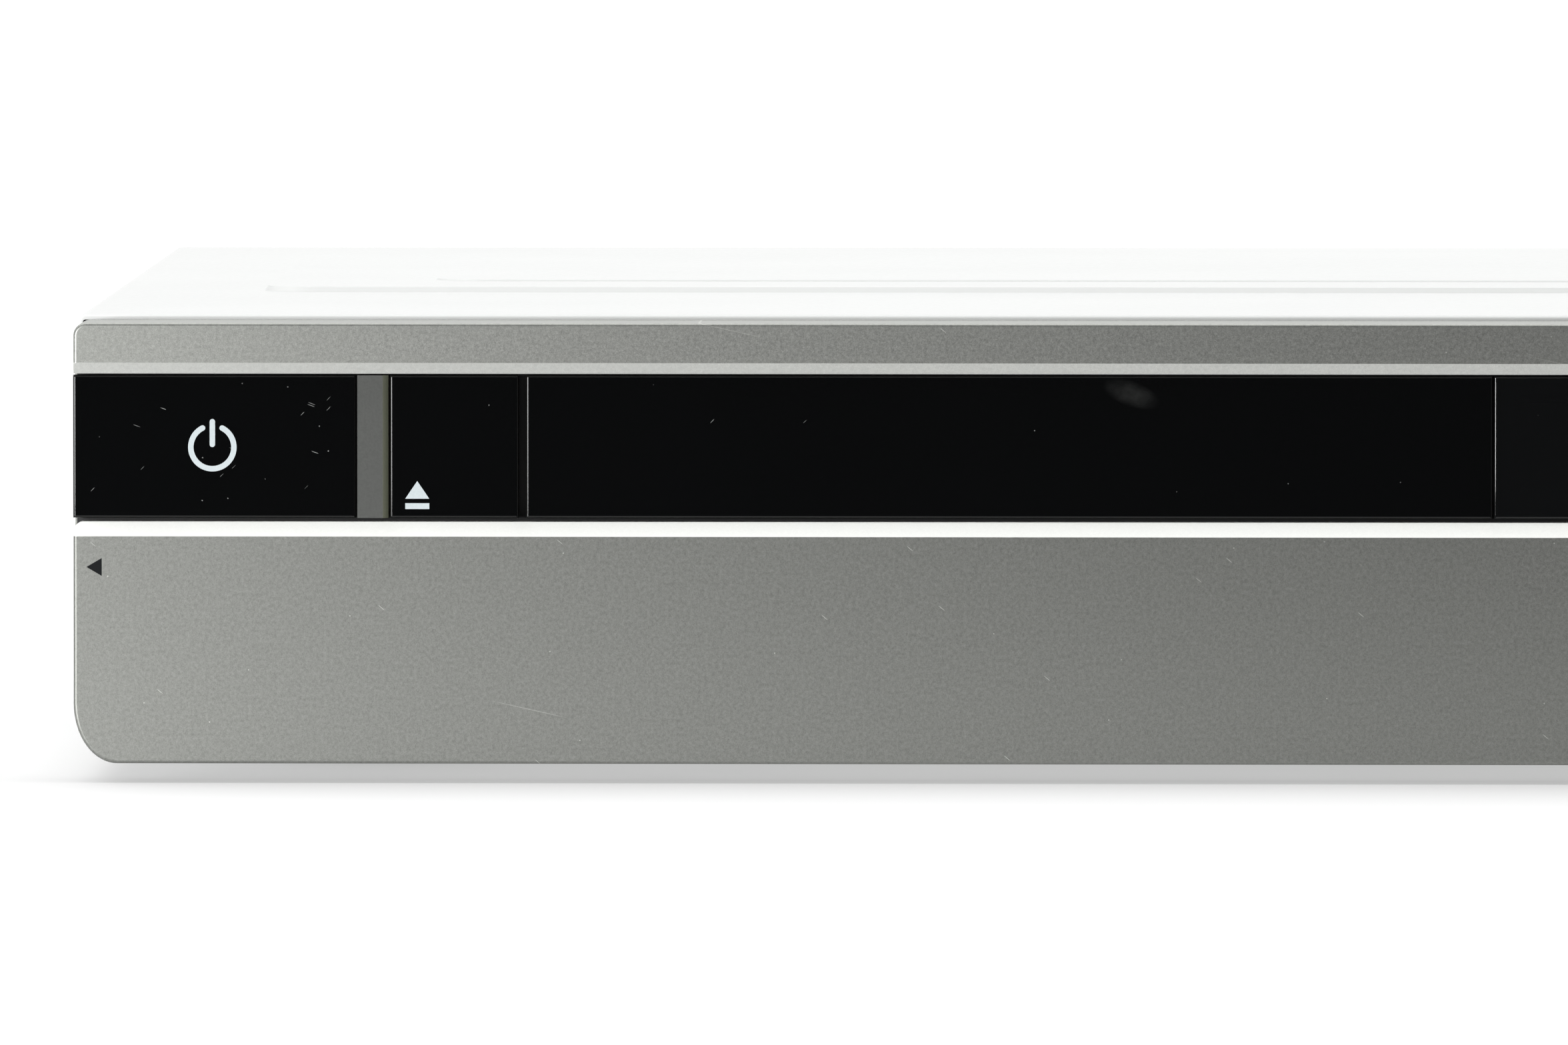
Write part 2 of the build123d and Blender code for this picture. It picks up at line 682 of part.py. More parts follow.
with BuildPart() as front_bezel:
    with BuildSketch(Plane.YZ.offset(-silver_half)):
        with BuildLine():
            Polyline(
                (behind(0), brow_bottom + brow_bevel),
                (behind(0), case_top),
                (behind(bezel_depth), case_top),
                (behind(bezel_depth), case_top - bezel_wall),
                (behind(bezel_wall + 0.2), case_top - bezel_wall),
                (behind(bezel_wall + 0.2), brow_bottom + bezel_wall + 0.1),
                (behind(inner_back), brow_bottom + bezel_wall + 0.1),
                (behind(inner_back), flap_top + 0.2),
                (behind(fascia_back), flap_top + 0.2),
                (behind(fascia_back), fascia_bottom + 2.0),
                (behind(bezel_depth), fascia_bottom + 2.0),
                (behind(bezel_depth), flap_lift + skirt_lift),
                (behind(skirt_front), flap_lift + skirt_lift),
                (behind(skirt_front), fascia_bottom),
                (behind(inner_back), fascia_bottom),
                (behind(inner_back), flap_top - flap_bevel),
                (behind(inner_front), flap_top - flap_bevel),
                (behind(inner_front), brow_bottom),
                (behind(brow_bevel_depth), brow_bottom),
                (behind(0), brow_bottom + brow_bevel),
            )
        make_face()
    extrude(amount=2 * silver_half)
    for side in (-1, 1):
        end = span(side, silver_half - bezel_wall, silver_half)
        block(*end, 1.0, bezel_depth, brow_bottom + brow_bevel, case_top - 1.0)
        block(*end, inner_front, bezel_depth, flap_top - flap_bevel, brow_bottom + brow_bevel)
        block(*end, inner_back, bezel_depth, fascia_bottom, flap_top - flap_bevel)
        lug = span(side, lug_in, lug_out)
        block(*lug, flap_hinge - lug_radius, inner_back, hinge_z, hinge_z + lug_height)
        bar(lug[0], flap_hinge, hinge_z, RIGHT, lug_radius, lug_width)
        cut(*lug, flap_hinge + lug_radius, inner_back + 1.0, hinge_z - lug_radius, fascia_bottom)
        bore(lug[0], flap_hinge, hinge_z, RIGHT, hinge_pin_radius, lug_width)
    mouth = (loader(-tray_half - 1.5), loader(tray_half + 1.5))
    cut(*mouth, inner_front, inner_back, aperture_bottom, aperture_top)
    view = (display_left - 2.0, display_right + 2.0)
    cut(*view, inner_front, inner_back, band_middle - display_opening / 2, band_middle + display_opening / 2)
    for x in key_centres:
        hole = stem / 2 + stem_clear
        cut(x - hole, x + hole, inner_front, inner_back, band_middle - hole, band_middle + hole)
    for x in strip_centres:
        hole = guide_size / 2 + guide_clear
        cut(x - hole, x + hole, inner_front, inner_back, band_middle - hole, band_middle + hole)
    for x in front_barrel_xs:
        bore(x, inner_back, jack_z, BACK, barrel_radius + barrel_clear, inner_wall)
    bore(video_x, inner_back, jack_z, BACK, round_socket_radius + barrel_clear, inner_wall)
    cut(data_x - 3.2, data_x + 3.2, inner_back, fascia_back, jack_z - 2.1, jack_z + 2.1)
    for x, z in key_posts + display_posts:
        bar(x, inner_back, z, BACK, post_thick, front_board_depth - inner_back)
    for x, z in jack_posts:
        bar(x, fascia_back, z, BACK, post_thick, jack_board_depth - fascia_back)
    upper_edges = front_bezel.edges().filter_by(Axis.Y).group_by(Axis.Z)[-1]
    fillet(upper_edges.filter_by(lambda e: abs(abs(e.center().X) - silver_half) < 0.01), brow_radius)
    lower_edges = front_bezel.edges().filter_by(Axis.Y).group_by(Axis.Z)[0]
    fillet(lower_edges.filter_by(lambda e: abs(abs(e.center().X) - silver_half) < 0.01), skirt_corner)
    brow_face = front_bezel.faces().filter_by(Axis.Y).sort_by(Axis.Y)[0]
    fillet(brow_face.edges().sort_by(Axis.Z)[1:], silver_round)

# ---- Flap
catch_z = flap_top - catch_drop
catch_front = inner_back - 5.3
pin_hole_end = silver_half - hinge_pin_skin

with BuildPart() as front_flap:
    extrude(lower_outline(flap_cheek, 0, 0, 0), amount=flap_cheek)
    pocket = lower_outline(flap_cheek, flap_return, flap_wall, flap_return)
    extrude(pocket, amount=flap_cheek - flap_wall, mode=Mode.SUBTRACT)
    cut(-half, half, inner_front - flap_clear, flap_cheek, flap_top - flap_bevel - 0.6, flap_top)
    upper_edges = front_flap.edges().filter_by(Axis.X).group_by(Axis.Z)[-1]
    chamfer(upper_edges.sort_by(Axis.Y)[0], flap_bevel)
    end_edges = front_flap.edges().filter_by(Axis.Y).group_by(Axis.Z)[-1]
    fillet(end_edges.filter_by(lambda e: abs(abs(e.center().X) - silver_half) < 0.01), flap_end_round)
    flap_face = front_flap.faces().filter_by(Axis.Y).sort_by(Axis.Y)[0]
    fillet(flap_face.edges().sort_by(Axis.Z)[:-1], silver_round)
    for x, toward in ((-pin_hole_end, RIGHT), (pin_hole_end, LEFT)):
        bore(x, flap_hinge, hinge_z, toward, hinge_pin_radius + running, 3.0)
    striker_x = (catch_x - 1.5 * striker, catch_x + 1.5 * striker)
    block(*striker_x, flap_wall, flap_wall + striker_reach, catch_z - striker / 2, catch_z + striker / 2)

with BuildPart() as flap_hinge_pins:
    for side, toward in ((-1, RIGHT), (1, LEFT)):
        pin_start = pin_hole_end - pin_end_gap
        bar(side * pin_start, flap_hinge, hinge_z, toward, hinge_pin_radius, pin_start - lug_in)

with BuildPart() as flap_damper:
    bar(lug_in - damper_length, flap_hinge, hinge_z, RIGHT, lug_radius - 0.1, damper_length)

with BuildPart() as flap_catch:
    body = catch_size / 2
    block(catch_x - body - 1.5, catch_x + body + 1.5, catch_front, inner_back, catch_z - body, catch_z + body)
    mouth_half = striker / 2 + catch_clear
    slot = (catch_x - body, catch_x + body)
    cut(*slot, catch_front, catch_front + 3.0, catch_z - mouth_half, catch_z + mouth_half)


# ---- Band: keys, strips, window
def band_key(left, right, centre):
    """A key cap that fills the band's height, with the square stem that runs in the inner wall's hole."""
    with BuildPart() as key:
        block(left, right, band_recess, band_back, band_bottom, band_top)
        soften_front(key)
        reach = stem / 2
        block(centre - reach, centre + reach, band_back, stem_end, band_middle - reach, band_middle + reach)
    return key


power_button = band_key(-half, power_right, key_centres[0])
eject_button = band_key(eject_left, eject_right, key_centres[1])
stop_button = band_key(-eject_right, -eject_left, key_centres[2])
play_button = band_key(-power_right, half, key_centres[3])

lamp_front = front_board_depth - lamp_height

with BuildPart() as divider_strips:
    for x in strip_centres:
        reach = guide_size / 2
        block(x - strip_width / 2, x + strip_width / 2, band_recess, inner_front, band_bottom, band_top)
        block(x - reach, x + reach, inner_front, lamp_front - 0.5, band_middle - reach, band_middle + reach)
    front_edges = divider_strips.edges().filter_by(Axis.Z).group_by(Axis.Y)[0]
    chamfer(front_edges.sort_by(lambda edge: abs(edge.center().X))[:2], strip_bevel)

window_rim = 0.6
window_frame = 4.0

with BuildPart() as display_window:
    block(display_window_left, display_window_right, band_recess, band_back, band_bottom, band_top)
    soften_front(display_window)
    for inset, mode in ((window_rim, Mode.ADD), (window_frame, Mode.SUBTRACT)):
        block(
            display_window_left + inset,
            display_window_right - inset,
            band_back,
            inner_front,
            band_bottom + inset,
            band_top - inset,
            mode=mode,
        )

with BuildPart() as tray_door:
    block(door_left, door_right, band_recess, band_back, band_bottom, band_top)
    soften_front(tray_door)

# ---- Boards behind the front
front_board_back = front_board_depth + board
front_board_bottom = band_bottom + 1.5
front_board_top = band_top - 0.9

with BuildPart() as key_board:
    edges = (left_bay[0], left_bay[1] - 3.3)
    block(*edges, front_board_depth, front_board_back, front_board_bottom, front_board_top)

with BuildPart() as display_board:
    edges = (right_bay[0] + 5.2, right_bay[1])
    block(*edges, front_board_depth, front_board_back, front_board_bottom, front_board_top)

with BuildPart() as key_switches:
    for x in key_centres:
        reach = switch_size / 2
        switch_front = front_board_depth - switch_height
        block(x - reach, x + reach, switch_front, front_board_depth, band_middle - reach, band_middle + reach)
        bar(x, switch_front, band_middle, FRONT, plunger_radius, plunger_height)

with BuildPart() as indicator_lamps:
    for x in strip_centres:
        bar(x, front_board_depth, band_middle, FRONT, lamp_radius, lamp_height)

with BuildPart() as display_module:
    glass_front = front_board_depth - display_thick
    low = band_middle - display_height / 2
    high = band_middle + display_height / 2
    block(display_left, display_right, glass_front, front_board_depth, low, high)
    block(display_left + 4.0, display_right - 4.0, glass_front - 1.0, glass_front, low + 2.0, high - 2.0)

with BuildPart() as jack_board:
    edges = (left_bay[0] + 1.0, left_bay[1] - 2.3)
    block(*edges, jack_board_depth, jack_board_depth + board, jack_z - 11.5, jack_z + 13.0)

# ---- Jacks, front and rear
jack_body = 11.0
jack_body_height = 14.0
front_barrel_reach = 8.2
core_radius = barrel_bore - running
core_setback = 1.2
rear_block_length = 16.2
rear_block_height = 30.0

with BuildPart() as jack_housings:
    for x in front_barrel_xs:
        reach = jack_body / 2
        low = jack_z - jack_body_height / 2
        block(x - reach, x + reach, fascia_back, jack_board_depth, low, low + jack_body_height)
        core_front = fascia_back - front_barrel_reach + core_setback
        bar(x, fascia_back, jack_z, FRONT, core_radius, fascia_back - core_front)
        bore(x, core_front, jack_z, BACK, contact_radius, 9.0)
    edges = (rear_block_left, rear_block_left + rear_block_width)
    block(*edges, rear_inside - rear_block_length, rear_inside, board_top, board_top + rear_block_height)
    for x, z in rear_barrels:
        core_end = body_depth + jack_reach - core_setback
        bar(x, rear_inside, z, BACK, core_radius, core_end - rear_inside)
        bore(x, core_end, z, FRONT, contact_radius, 12.0)

with BuildPart() as jack_barrels:
    for radius, mode in ((barrel_radius, Mode.ADD), (barrel_bore, Mode.SUBTRACT)):
        for x in front_barrel_xs:
            bar(x, fascia_back, jack_z, FRONT, radius, front_barrel_reach, mode=mode)
        for x, z in rear_barrels:
            bar(x, rear_inside, z, BACK, radius, cover_sheet + jack_reach, mode=mode)

socket_block = 13.0
socket_reach = 4.2
socket_bore = 3.7
socket_bore_depth = 9.0

with BuildPart() as front_data_sockets:
    reach = socket_block / 2
    block(video_x - reach, video_x + reach, fascia_back, jack_board_depth, jack_z - reach, jack_z + reach)
    bar(video_x, fascia_back, jack_z, FRONT, round_socket_radius, socket_reach)
    bore(video_x, fascia_back - socket_reach, jack_z, BACK, socket_bore, socket_bore_depth)
    block(data_x - 3.0, data_x + 3.0, fascia_back, jack_board_depth, jack_z - reach, jack_z + 3.0)
    block(data_x - 2.9, data_x + 2.9, inner_back, fascia_back, jack_z - 1.9, jack_z + 1.9)
    cut(data_x - 2.4, data_x + 2.4, inner_back, inner_back + 7.0, jack_z - 1.3, jack_z + 1.3)

# ---- Loader
rail_reach = 9.0
rail_thick = 2.7
rail_top = tray_under - tray_run
guide_starts = (loader_front + 6.5, spindle_depth + 18.0, tray_end - 14.0)
guide_length = 12.0
guide_lip = 2.0
peg_z = loader_floor + 4.5
floor_half = traverse_width / 2 + 1.0
ear_inner = traverse_width / 2 + ear_gap
ear_half_length = 5.0
bracket_depths = (loader_front + 14.5, loader_rear - 12.5)
bracket_flange = 8.0

with BuildPart() as loader_frame:
    outside = (loader(-loader_half), loader(loader_half))
    inside = (loader(-loader_inside), loader(loader_inside))
    block(*outside, loader_front, loader_rear, loader_base, loader_top)
    cut(*inside, loader_front + loader_wall, loader_rear - loader_wall, loader_floor, loader_top)
    cut(*inside, loader_front, loader_front + loader_wall, aperture_bottom, loader_top)
    cut(loader(-floor_half), loader(floor_half), traverse_front, pivot_depth - 7.0, loader_base, loader_floor)
    block(*inside, loader_front, slider_front - 0.5, deck_base, deck_top)
    block(*inside, slider_front - 2.5, slider_front - 0.5, loader_floor, deck_base)
    for side in (-1, 1):
        rail = span(side, loader_inside - rail_reach, loader_inside, loader_x)
        block(*rail, loader_front, loader_rear - loader_wall, rail_top - rail_thick, rail_top)
        guide = span(side, tray_half + tray_side_gap, loader_inside, loader_x)
        hook = span(side, tray_half - guide_lip, loader_inside, loader_x)
        for start in guide_starts:
            block(*guide, start, start + guide_length, rail_top, tray_rim + tray_run + guide_lip)
            block(*hook, start, start + guide_length, tray_rim + tray_run, tray_rim + tray_run + guide_lip)
        ear = span(side, ear_inner, ear_inner + ear_width, loader_x)
        ear_front = pivot_depth - ear_half_length
        block(*ear, ear_front, ear_front + 2 * ear_half_length, loader_floor, rack_base - tray_run)
        bore(ear[0], pivot_depth, pivot_z, RIGHT, pivot_radius + running, ear_width)
    for x in (gear_x, pinion_x):
        bar(loader(x), gear_depth, deck_top, UP, post_radius, post_height)
    bore(loader(motor_x), gear_depth, deck_base, UP, motor_shaft + 0.6, deck_thick)
    for x in peg_places:
        bar(loader(x), slider_front - 0.5, peg_z, BACK, peg_radius, peg_length)

with BuildPart() as loader_brackets:
    for depth in bracket_depths:
        web = bracket_sheet / 2
        flange = (depth - bracket_flange, depth + bracket_flange)
        block(*outside, *flange, pan_top, pan_top + bracket_sheet)
        block(*outside, depth - web, depth + web, pan_top + bracket_sheet, loader_base - bracket_sheet)
        block(*outside, *flange, loader_base - bracket_sheet, loader_base)

bridge_front = spindle_depth - bridge_length / 2
bridge_top = loader_top + bridge_sheet
bridge_screw_inset = 6.0

with BuildPart() as clamp_bridge:
    block(*outside, bridge_front, bridge_front + bridge_length, loader_top, bridge_top)
    bore(loader(0), spindle_depth, loader_top, UP, bridge_hole, bridge_sheet)

with BuildPart() as loader_screws:
    for x in (loader(-loader_half + loader_wall / 2), loader(loader_half - loader_wall / 2)):
        for depth in (bridge_front + bridge_screw_inset, bridge_front + bridge_length - bridge_screw_inset):
            bar(x, depth, bridge_top, UP, 2.4, 1.2)

clamp_gap = 0.3
clamper_base = disc_plane + clamp_gap
clamper_thick = 4.0
cone_height = 2.5

with BuildPart() as clamper:
    bar(loader(0), spindle_depth, clamper_base, UP, clamper_radius, clamper_thick)
    bore(loader(0), spindle_depth, clamper_base, UP, hub_radius + 0.6, cone_height + 0.2)
    neck_base = clamper_base + clamper_thick
    bar(loader(0), spindle_depth, neck_base, UP, clamper_neck, bridge_top + clamp_gap - neck_base)
    bar(loader(0), spindle_depth, bridge_top + clamp_gap, UP, clamper_radius - 2.0, 1.2)

rack_pitch_x = gear_x - gear_radius
rack_start = gear_depth - 11.0
rack_back = 5.0
addendum = 0.85 * gear_module
dedendum = 1.1 * gear_module


def rack_outline(z):
    """Straight rack with a gap where the tray gear's first tooth points."""
    pitch = pi * gear_module
    first = gear_depth + pitch / 2 - pitch * round((gear_depth - rack_start) / pitch)
    half_pitch_tooth = pitch / 4 - backlash / 2
    half_tip = half_pitch_tooth - addendum * tan(radians(20))
    half_root = half_pitch_tooth + dedendum * tan(radians(20))
    back = loader(rack_pitch_x - rack_back)
    tip = loader(rack_pitch_x + addendum)
    root = loader(rack_pitch_x - dedendum)
    points = [(back, behind(rack_start)), (root, behind(rack_start))]
    for tooth in range(int((tray_end - first) / pitch)):
        middle = behind(first + pitch * tooth)
        points += [(root, middle - half_root), (tip, middle - half_tip)]
        points += [(tip, middle + half_tip), (root, middle + half_root)]
    points += [(root, behind(tray_end)), (back, behind(tray_end))]
    with BuildSketch(Plane.XY.offset(z)) as outline:
        Polygon(*points, align=None)
    return outline.sketch


arm_inset = 30.0
arm_step = spindle_depth + disc_radius + 8.0
arm_rim = 3.0
finger_radius = 13.0

with BuildPart() as disc_tray:
    block(loader(-tray_half), loader(tray_half), band_back, tray_end, tray_under, tray_rim)
    bore(loader(0), spindle_depth, tray_floor, UP, disc_radius + disc_play, rim_height)
    bore(loader(0), spindle_depth, tray_floor - 0.8, UP, small_disc_radius + disc_play, 0.8)
    with BuildSketch(Plane.XY.offset(tray_under)):
        with Locations((loader(0), behind(spindle_depth))):
            Circle(slot_width / 2)
        with Locations((loader(0), behind((spindle_depth + tray_end) / 2))):
            Rectangle(slot_width, tray_end - spindle_depth)
    extrude(amount=tray_rim - tray_under, mode=Mode.SUBTRACT)
    for side in (-1, 1):
        low_part = span(side, arm_inset, tray_half - arm_rim, loader_x)
        cut(*low_part, arm_step, tray_end, tray_floor, tray_rim)
    bore(loader(0), spindle_depth - disc_radius, tray_floor - 1.8, UP, finger_radius, 6.0)
    extrude(rack_outline(rack_base), amount=rack_height)

# ---- Loading drive
pulley_base = deck_top + 0.4
pulley_top = pulley_base + pulley_thick
belt_z = pulley_base + pulley_thick / 2
belt_slack = 0.1

with BuildPart() as tray_gear:
    bar(loader(gear_x), gear_depth, deck_top + 0.3, UP, gear_hub, rack_base - deck_top - 0.3)
    extrude(gear_outline(gear_x, rack_base, gear_teeth, 180.0), amount=gear_thick)
    bore(loader(gear_x), gear_depth, deck_top, UP, post_radius + running, post_height + 1.0)


def pulley(x, rim, groove):
    """Half section of a grooved disc about a vertical axis."""
    with BuildSketch(Plane(origin=(loader(x), behind(gear_depth), 0), x_dir=RIGHT, z_dir=FRONT)) as profile:
        with BuildLine():
            Polyline(
                (0, pulley_base),
                (rim, pulley_base),
                (rim, belt_z - belt_thick),
                (groove, belt_z - belt_thick / 2 - belt_slack),
                (groove, belt_z + belt_thick / 2 + belt_slack),
                (rim, belt_z + belt_thick),
                (rim, pulley_top),
                (0, pulley_top),
                (0, pulley_base),
            )
        make_face()
    return profile.sketch


with BuildPart() as pulley_gear:
    pinion_axis = Axis((loader(pinion_x), behind(gear_depth), 0), UP)
    revolve(pulley(pinion_x, pulley_radius, pulley_groove), axis=pinion_axis)
    pinion_outline = gear_outline(pinion_x, pulley_top, pinion_teeth, 180.0 / pinion_teeth)
    extrude(pinion_outline, amount=rack_base + gear_thick - pulley_top)
    bore(loader(pinion_x), gear_depth, deck_top, UP, post_radius + running, post_height + 1.0)

with BuildPart() as motor_pulley:
    motor_axis = Axis((loader(motor_x), behind(gear_depth), 0), UP)
    revolve(pulley(motor_x, motor_groove + motor_rim, motor_groove), axis=motor_axis)
    bore(loader(motor_x), gear_depth, pulley_base, UP, motor_shaft + running, pulley_thick)

with BuildPart() as loading_motor:
    bar(loader(motor_x), gear_depth, deck_base, DOWN, loading_motor_radius, loading_motor_height)
    bar(loader(motor_x), gear_depth, deck_base, UP, motor_shaft, pulley_top + 0.8 - deck_base)


def belt_loop(allowance):
    """Outline of the loop round both pulleys, an allowance outside their grooves."""
    with BuildSketch(Plane.XY.offset(belt_z - belt_thick / 2)) as loop:
        with Locations((loader(pinion_x), behind(gear_depth))):
            Circle(pulley_groove + allowance)
        with Locations((loader(motor_x), behind(gear_depth))):
            Circle(motor_groove + allowance)
        make_hull()
    return loop.sketch


with BuildPart() as loading_belt:
    extrude(belt_loop(belt_clear + belt_thick), amount=belt_thick)
    extrude(belt_loop(belt_clear), amount=belt_thick, mode=Mode.SUBTRACT)

# ---- Cam slider and traverse
cam_pin_depth = slider_front + slider_thick / 2
cam_drop = (pivot_depth - cam_pin_depth) * sin(radians(tilt))
cam_angle = degrees(atan2(cam_drop, slider_travel))
cam_length = sqrt(cam_drop**2 + slider_travel**2)

with BuildPart() as cam_slider:
    edges = (loader(-slider_left), loader(slider_right))
    block(*edges, slider_front, slider_back, loader_floor + 0.3, pivot_z + 5.0)
    with BuildSketch(facing(slider_back)):
        for x in peg_places:
            with Locations((loader(x - slider_travel / 2), peg_z)):
                SlotCenterToCenter(slider_travel + 0.4, 2 * (peg_radius + cam_clear))
        with Locations((loader(-slider_travel / 2), pivot_z - cam_drop / 2)):
            SlotCenterToCenter(cam_length, 2 * (cam_pin_radius + cam_clear), rotation=cam_angle)
    extrude(amount=slider_thick, mode=Mode.SUBTRACT)

pickup_left = 31.0
pickup_right = 32.0
hang_left = 18.0
hang_right = 24.0
arm_right = screw_x + 3.8
rod_holder = 3.5  # half width of the rod brackets
screw_plate = bracket_rear + 2.5

with BuildPart() as traverse_plate:
    plate = (loader(-traverse_width / 2), loader(traverse_width / 2))
    block(*plate, traverse_front, traverse_end, traverse_base, traverse_top)
    window = (loader(-hang_left - 2.0), loader(arm_right + 0.7))
    cut(*window, pickup_front - 1.0, traverse_window_rear, traverse_base, traverse_top)
    for side, toward in ((-1, LEFT), (1, RIGHT)):
        bar(loader(side * traverse_width / 2), pivot_depth, pivot_z, toward, pivot_radius, pivot_length)
        rod_x = loader(side * rod_spread)
        for depth in (bracket_front, bracket_rear):
            holder = (rod_x - rod_holder, rod_x + rod_holder)
            block(*holder, depth, depth + bracket_thick, traverse_top, rod_z + 2.5)
            bore(rod_x, depth, rod_z, BACK, rod_radius + 0.02, bracket_thick)
    bar(loader(0), traverse_front, pivot_z, FRONT, cam_pin_radius, traverse_front - slider_front - 0.5)
    holder = (loader(screw_x - 3.5), loader(screw_x + 3.5))
    block(*holder, bracket_front, bracket_front + bracket_thick, screw_z - 4.2, traverse_base)
    bore(loader(screw_x), bracket_front, screw_z, BACK, screw_radius + running, bracket_thick)
    holder = (loader(screw_x - 7.0), loader(screw_x + 7.0))
    block(*holder, bracket_rear, screw_plate, screw_z - 6.2, traverse_base)
    bore(loader(screw_x), bracket_rear, screw_z, BACK, screw_radius + 1.0, screw_plate - bracket_rear)

with BuildPart() as guide_rods:
    for side in (-1, 1):
        rod_length = bracket_rear + bracket_thick - bracket_front
        bar(loader(side * rod_spread), bracket_front, rod_z, BACK, rod_radius, rod_length)

motor_flange = 1.0
motor_can = 6.0
turntable_thick = 4.5
turntable_base = disc_plane - turntable_thick

with BuildPart() as spindle_motor:
    can_base = traverse_top + motor_flange
    shaft_base = can_base + motor_can
    bar(loader(0), spindle_depth, traverse_top, UP, spindle_motor_radius + 1.0, motor_flange)
    bar(loader(0), spindle_depth, can_base, UP, spindle_motor_radius, motor_can)
    bar(loader(0), spindle_depth, shaft_base, UP, spindle_shaft, disc_plane - 1.0 - shaft_base)

with BuildPart() as turntable:
    bar(loader(0), spindle_depth, turntable_base, UP, turntable_radius, turntable_thick)
    with Locations((loader(0), behind(spindle_depth), disc_plane)):
        Cone(hub_radius, hub_radius - 1.4, cone_height, align=(Align.CENTER, Align.CENTER, Align.MIN))
    bore(loader(0), spindle_depth, turntable_base, UP, spindle_shaft + 0.02, turntable_thick - 0.7)

with BuildPart() as sled_motor:
    bar(loader(screw_x), screw_plate, screw_z, BACK, sled_motor_radius, sled_motor_length)
    bore(loader(screw_x), screw_plate, screw_z, BACK, screw_radius + running, 6.0)

with BuildPart() as lead_screw:
    screw_start = bracket_front + 0.5
    bar(loader(screw_x), screw_start, screw_z, BACK, screw_radius, screw_plate + 5.5 - screw_start)

lens_depth = pickup_front + lens_inset
pickup_base = traverse_top + 0.4
pickup_top = tray_under - 0.9
lens_seat = pickup_top + 2.0
lens_radius = 2.55

with BuildPart() as optical_pickup:
    block(loader(-pickup_left), loader(pickup_right), pickup_front, pickup_rear, pickup_base, pickup_top)
    hang = (loader(-hang_left), loader(hang_right))
    block(*hang, pickup_front + 1.5, pickup_rear - 2.5, screw_z - 0.7, pickup_base)
    arm = (loader(hang_right), loader(arm_right))
    block(*arm, pickup_front + 10.5, pickup_front + 18.5, screw_z - 2.7, pickup_base)
    bar(loader(0), lens_depth, pickup_top, UP, lens_radius + 2.05, 4.4)
    bore(loader(0), lens_depth, lens_seat, UP, lens_radius + running, 3.0)
    for side in (-1, 1):
        bore(loader(side * rod_spread), pickup_front, rod_z, BACK, rod_radius + 0.06, pickup_length)
    bore(loader(screw_x), pickup_front, screw_z, BACK, screw_radius + 0.08, pickup_length)

with BuildPart() as objective_lens:
    bar(loader(0), lens_depth, lens_seat, UP, lens_radius, 2.6)
    fillet(objective_lens.edges().group_by(Axis.Z)[-1], 0.9)

# ---- Power supply
sink_x = power_edges[0] + 4.0
sink_thick = 2.5
sink_length = 36.0
sink_height = 34.0
fin_reach = 4.0
fin_thick = 1.5
sink_depths = (power_depths[0] + 12.0, power_depths[0] + 84.0)
transformer_x = sum(power_edges) / 2 + 0.75
transformer_depth = power_depths[0] + 54.0
core_size = (36.0, 12.0, 33.0)
winding_size = (28.0, 30.0, 26.0)

with BuildPart() as power_board:
    block(*power_edges, *power_depths, board_base, board_top)

with BuildPart() as mains_inlet:
    inlet_half = inlet_width / 2
    inlet_end = body_depth + 1.0
    inlet_low = inlet_z - inlet_height / 2
    block(
        inlet_x - inlet_half,
        inlet_x + inlet_half,
        inlet_end - inlet_length,
        inlet_end,
        inlet_low,
        inlet_low + inlet_height,
    )
    foot = (inlet_x - inlet_half + 2.0, inlet_x + inlet_half - 2.0)
    block(*foot, inlet_end - inlet_length, inlet_end - 7.0, board_top, inlet_low)
    with BuildSketch(facing(inlet_end)):
        with Locations((inlet_x, inlet_z)):
            SlotOverall(inlet_mouth_width, inlet_mouth_height)
    extrude(amount=inlet_mouth_depth, mode=Mode.SUBTRACT)
    for side in (-1, 1):
        pin_x = inlet_x + side * inlet_pin_pitch / 2
        bar(pin_x, inlet_end - inlet_mouth_depth, inlet_z, BACK, inlet_pin_radius, 9.0)

with BuildPart() as transformer:
    for width, length, height in (core_size, winding_size):
        edges = (transformer_x - width / 2, transformer_x + width / 2)
        depths = (transformer_depth - length / 2, transformer_depth + length / 2)
        block(*edges, *depths, board_top, board_top + height)

with BuildPart() as power_capacitors:
    big_x = power_edges[1] - 14.5
    bar(big_x, power_depths[0] + 24.0, board_top, UP, 11.0, 36.0)
    for place in range(3):
        bar(power_edges[1] - 7.5, power_depths[0] + 88.0 + 13.0 * place, board_top, UP, 5.0, 22.0)
    upper_rims = power_capacitors.edges().filter_by(GeomType.CIRCLE)
    fillet(upper_rims.filter_by(lambda e: e.center().Z > board_top + 1), 0.8)

with BuildPart() as power_heatsinks:
    for depth in sink_depths:
        block(sink_x, sink_x + sink_thick, depth, depth + sink_length, board_top, board_top + sink_height)
        for fin in range(4):
            fin_depth = depth + fin * (sink_length - fin_thick) / 3
            fin_edges = (sink_x + sink_thick, sink_x + sink_thick + fin_reach)
            block(*fin_edges, fin_depth, fin_depth + fin_thick, board_top + 6.0, board_top + sink_height)

# ---- Main board
chip_x = sum(main_edges) / 2 + 10.0
chip_depth = main_depths[0] + 92.0
package = 28.0
package_height = 2.2
sink_base = 26.0
small_chips = ((-48.0, -10.0, 20.0), (40.0, -20.0, 18.0), (0.0, -50.0, 12.0))
cap_xs = (26.0, 38.0, 50.0, 136.0, 148.0)
connector_x = main_edges[0] + 4.0
connector_depth = main_depths[0] + 94.0
connector_size = (12.0, 24.0, 5.0)

with BuildPart() as main_board:
    block(*main_edges, *main_depths, board_base, board_top)


def package_block(x, depth, size, low, high):
    """A square flat block about a middle point."""
    block(x - size / 2, x + size / 2, depth - size / 2, depth + size / 2, low, high)


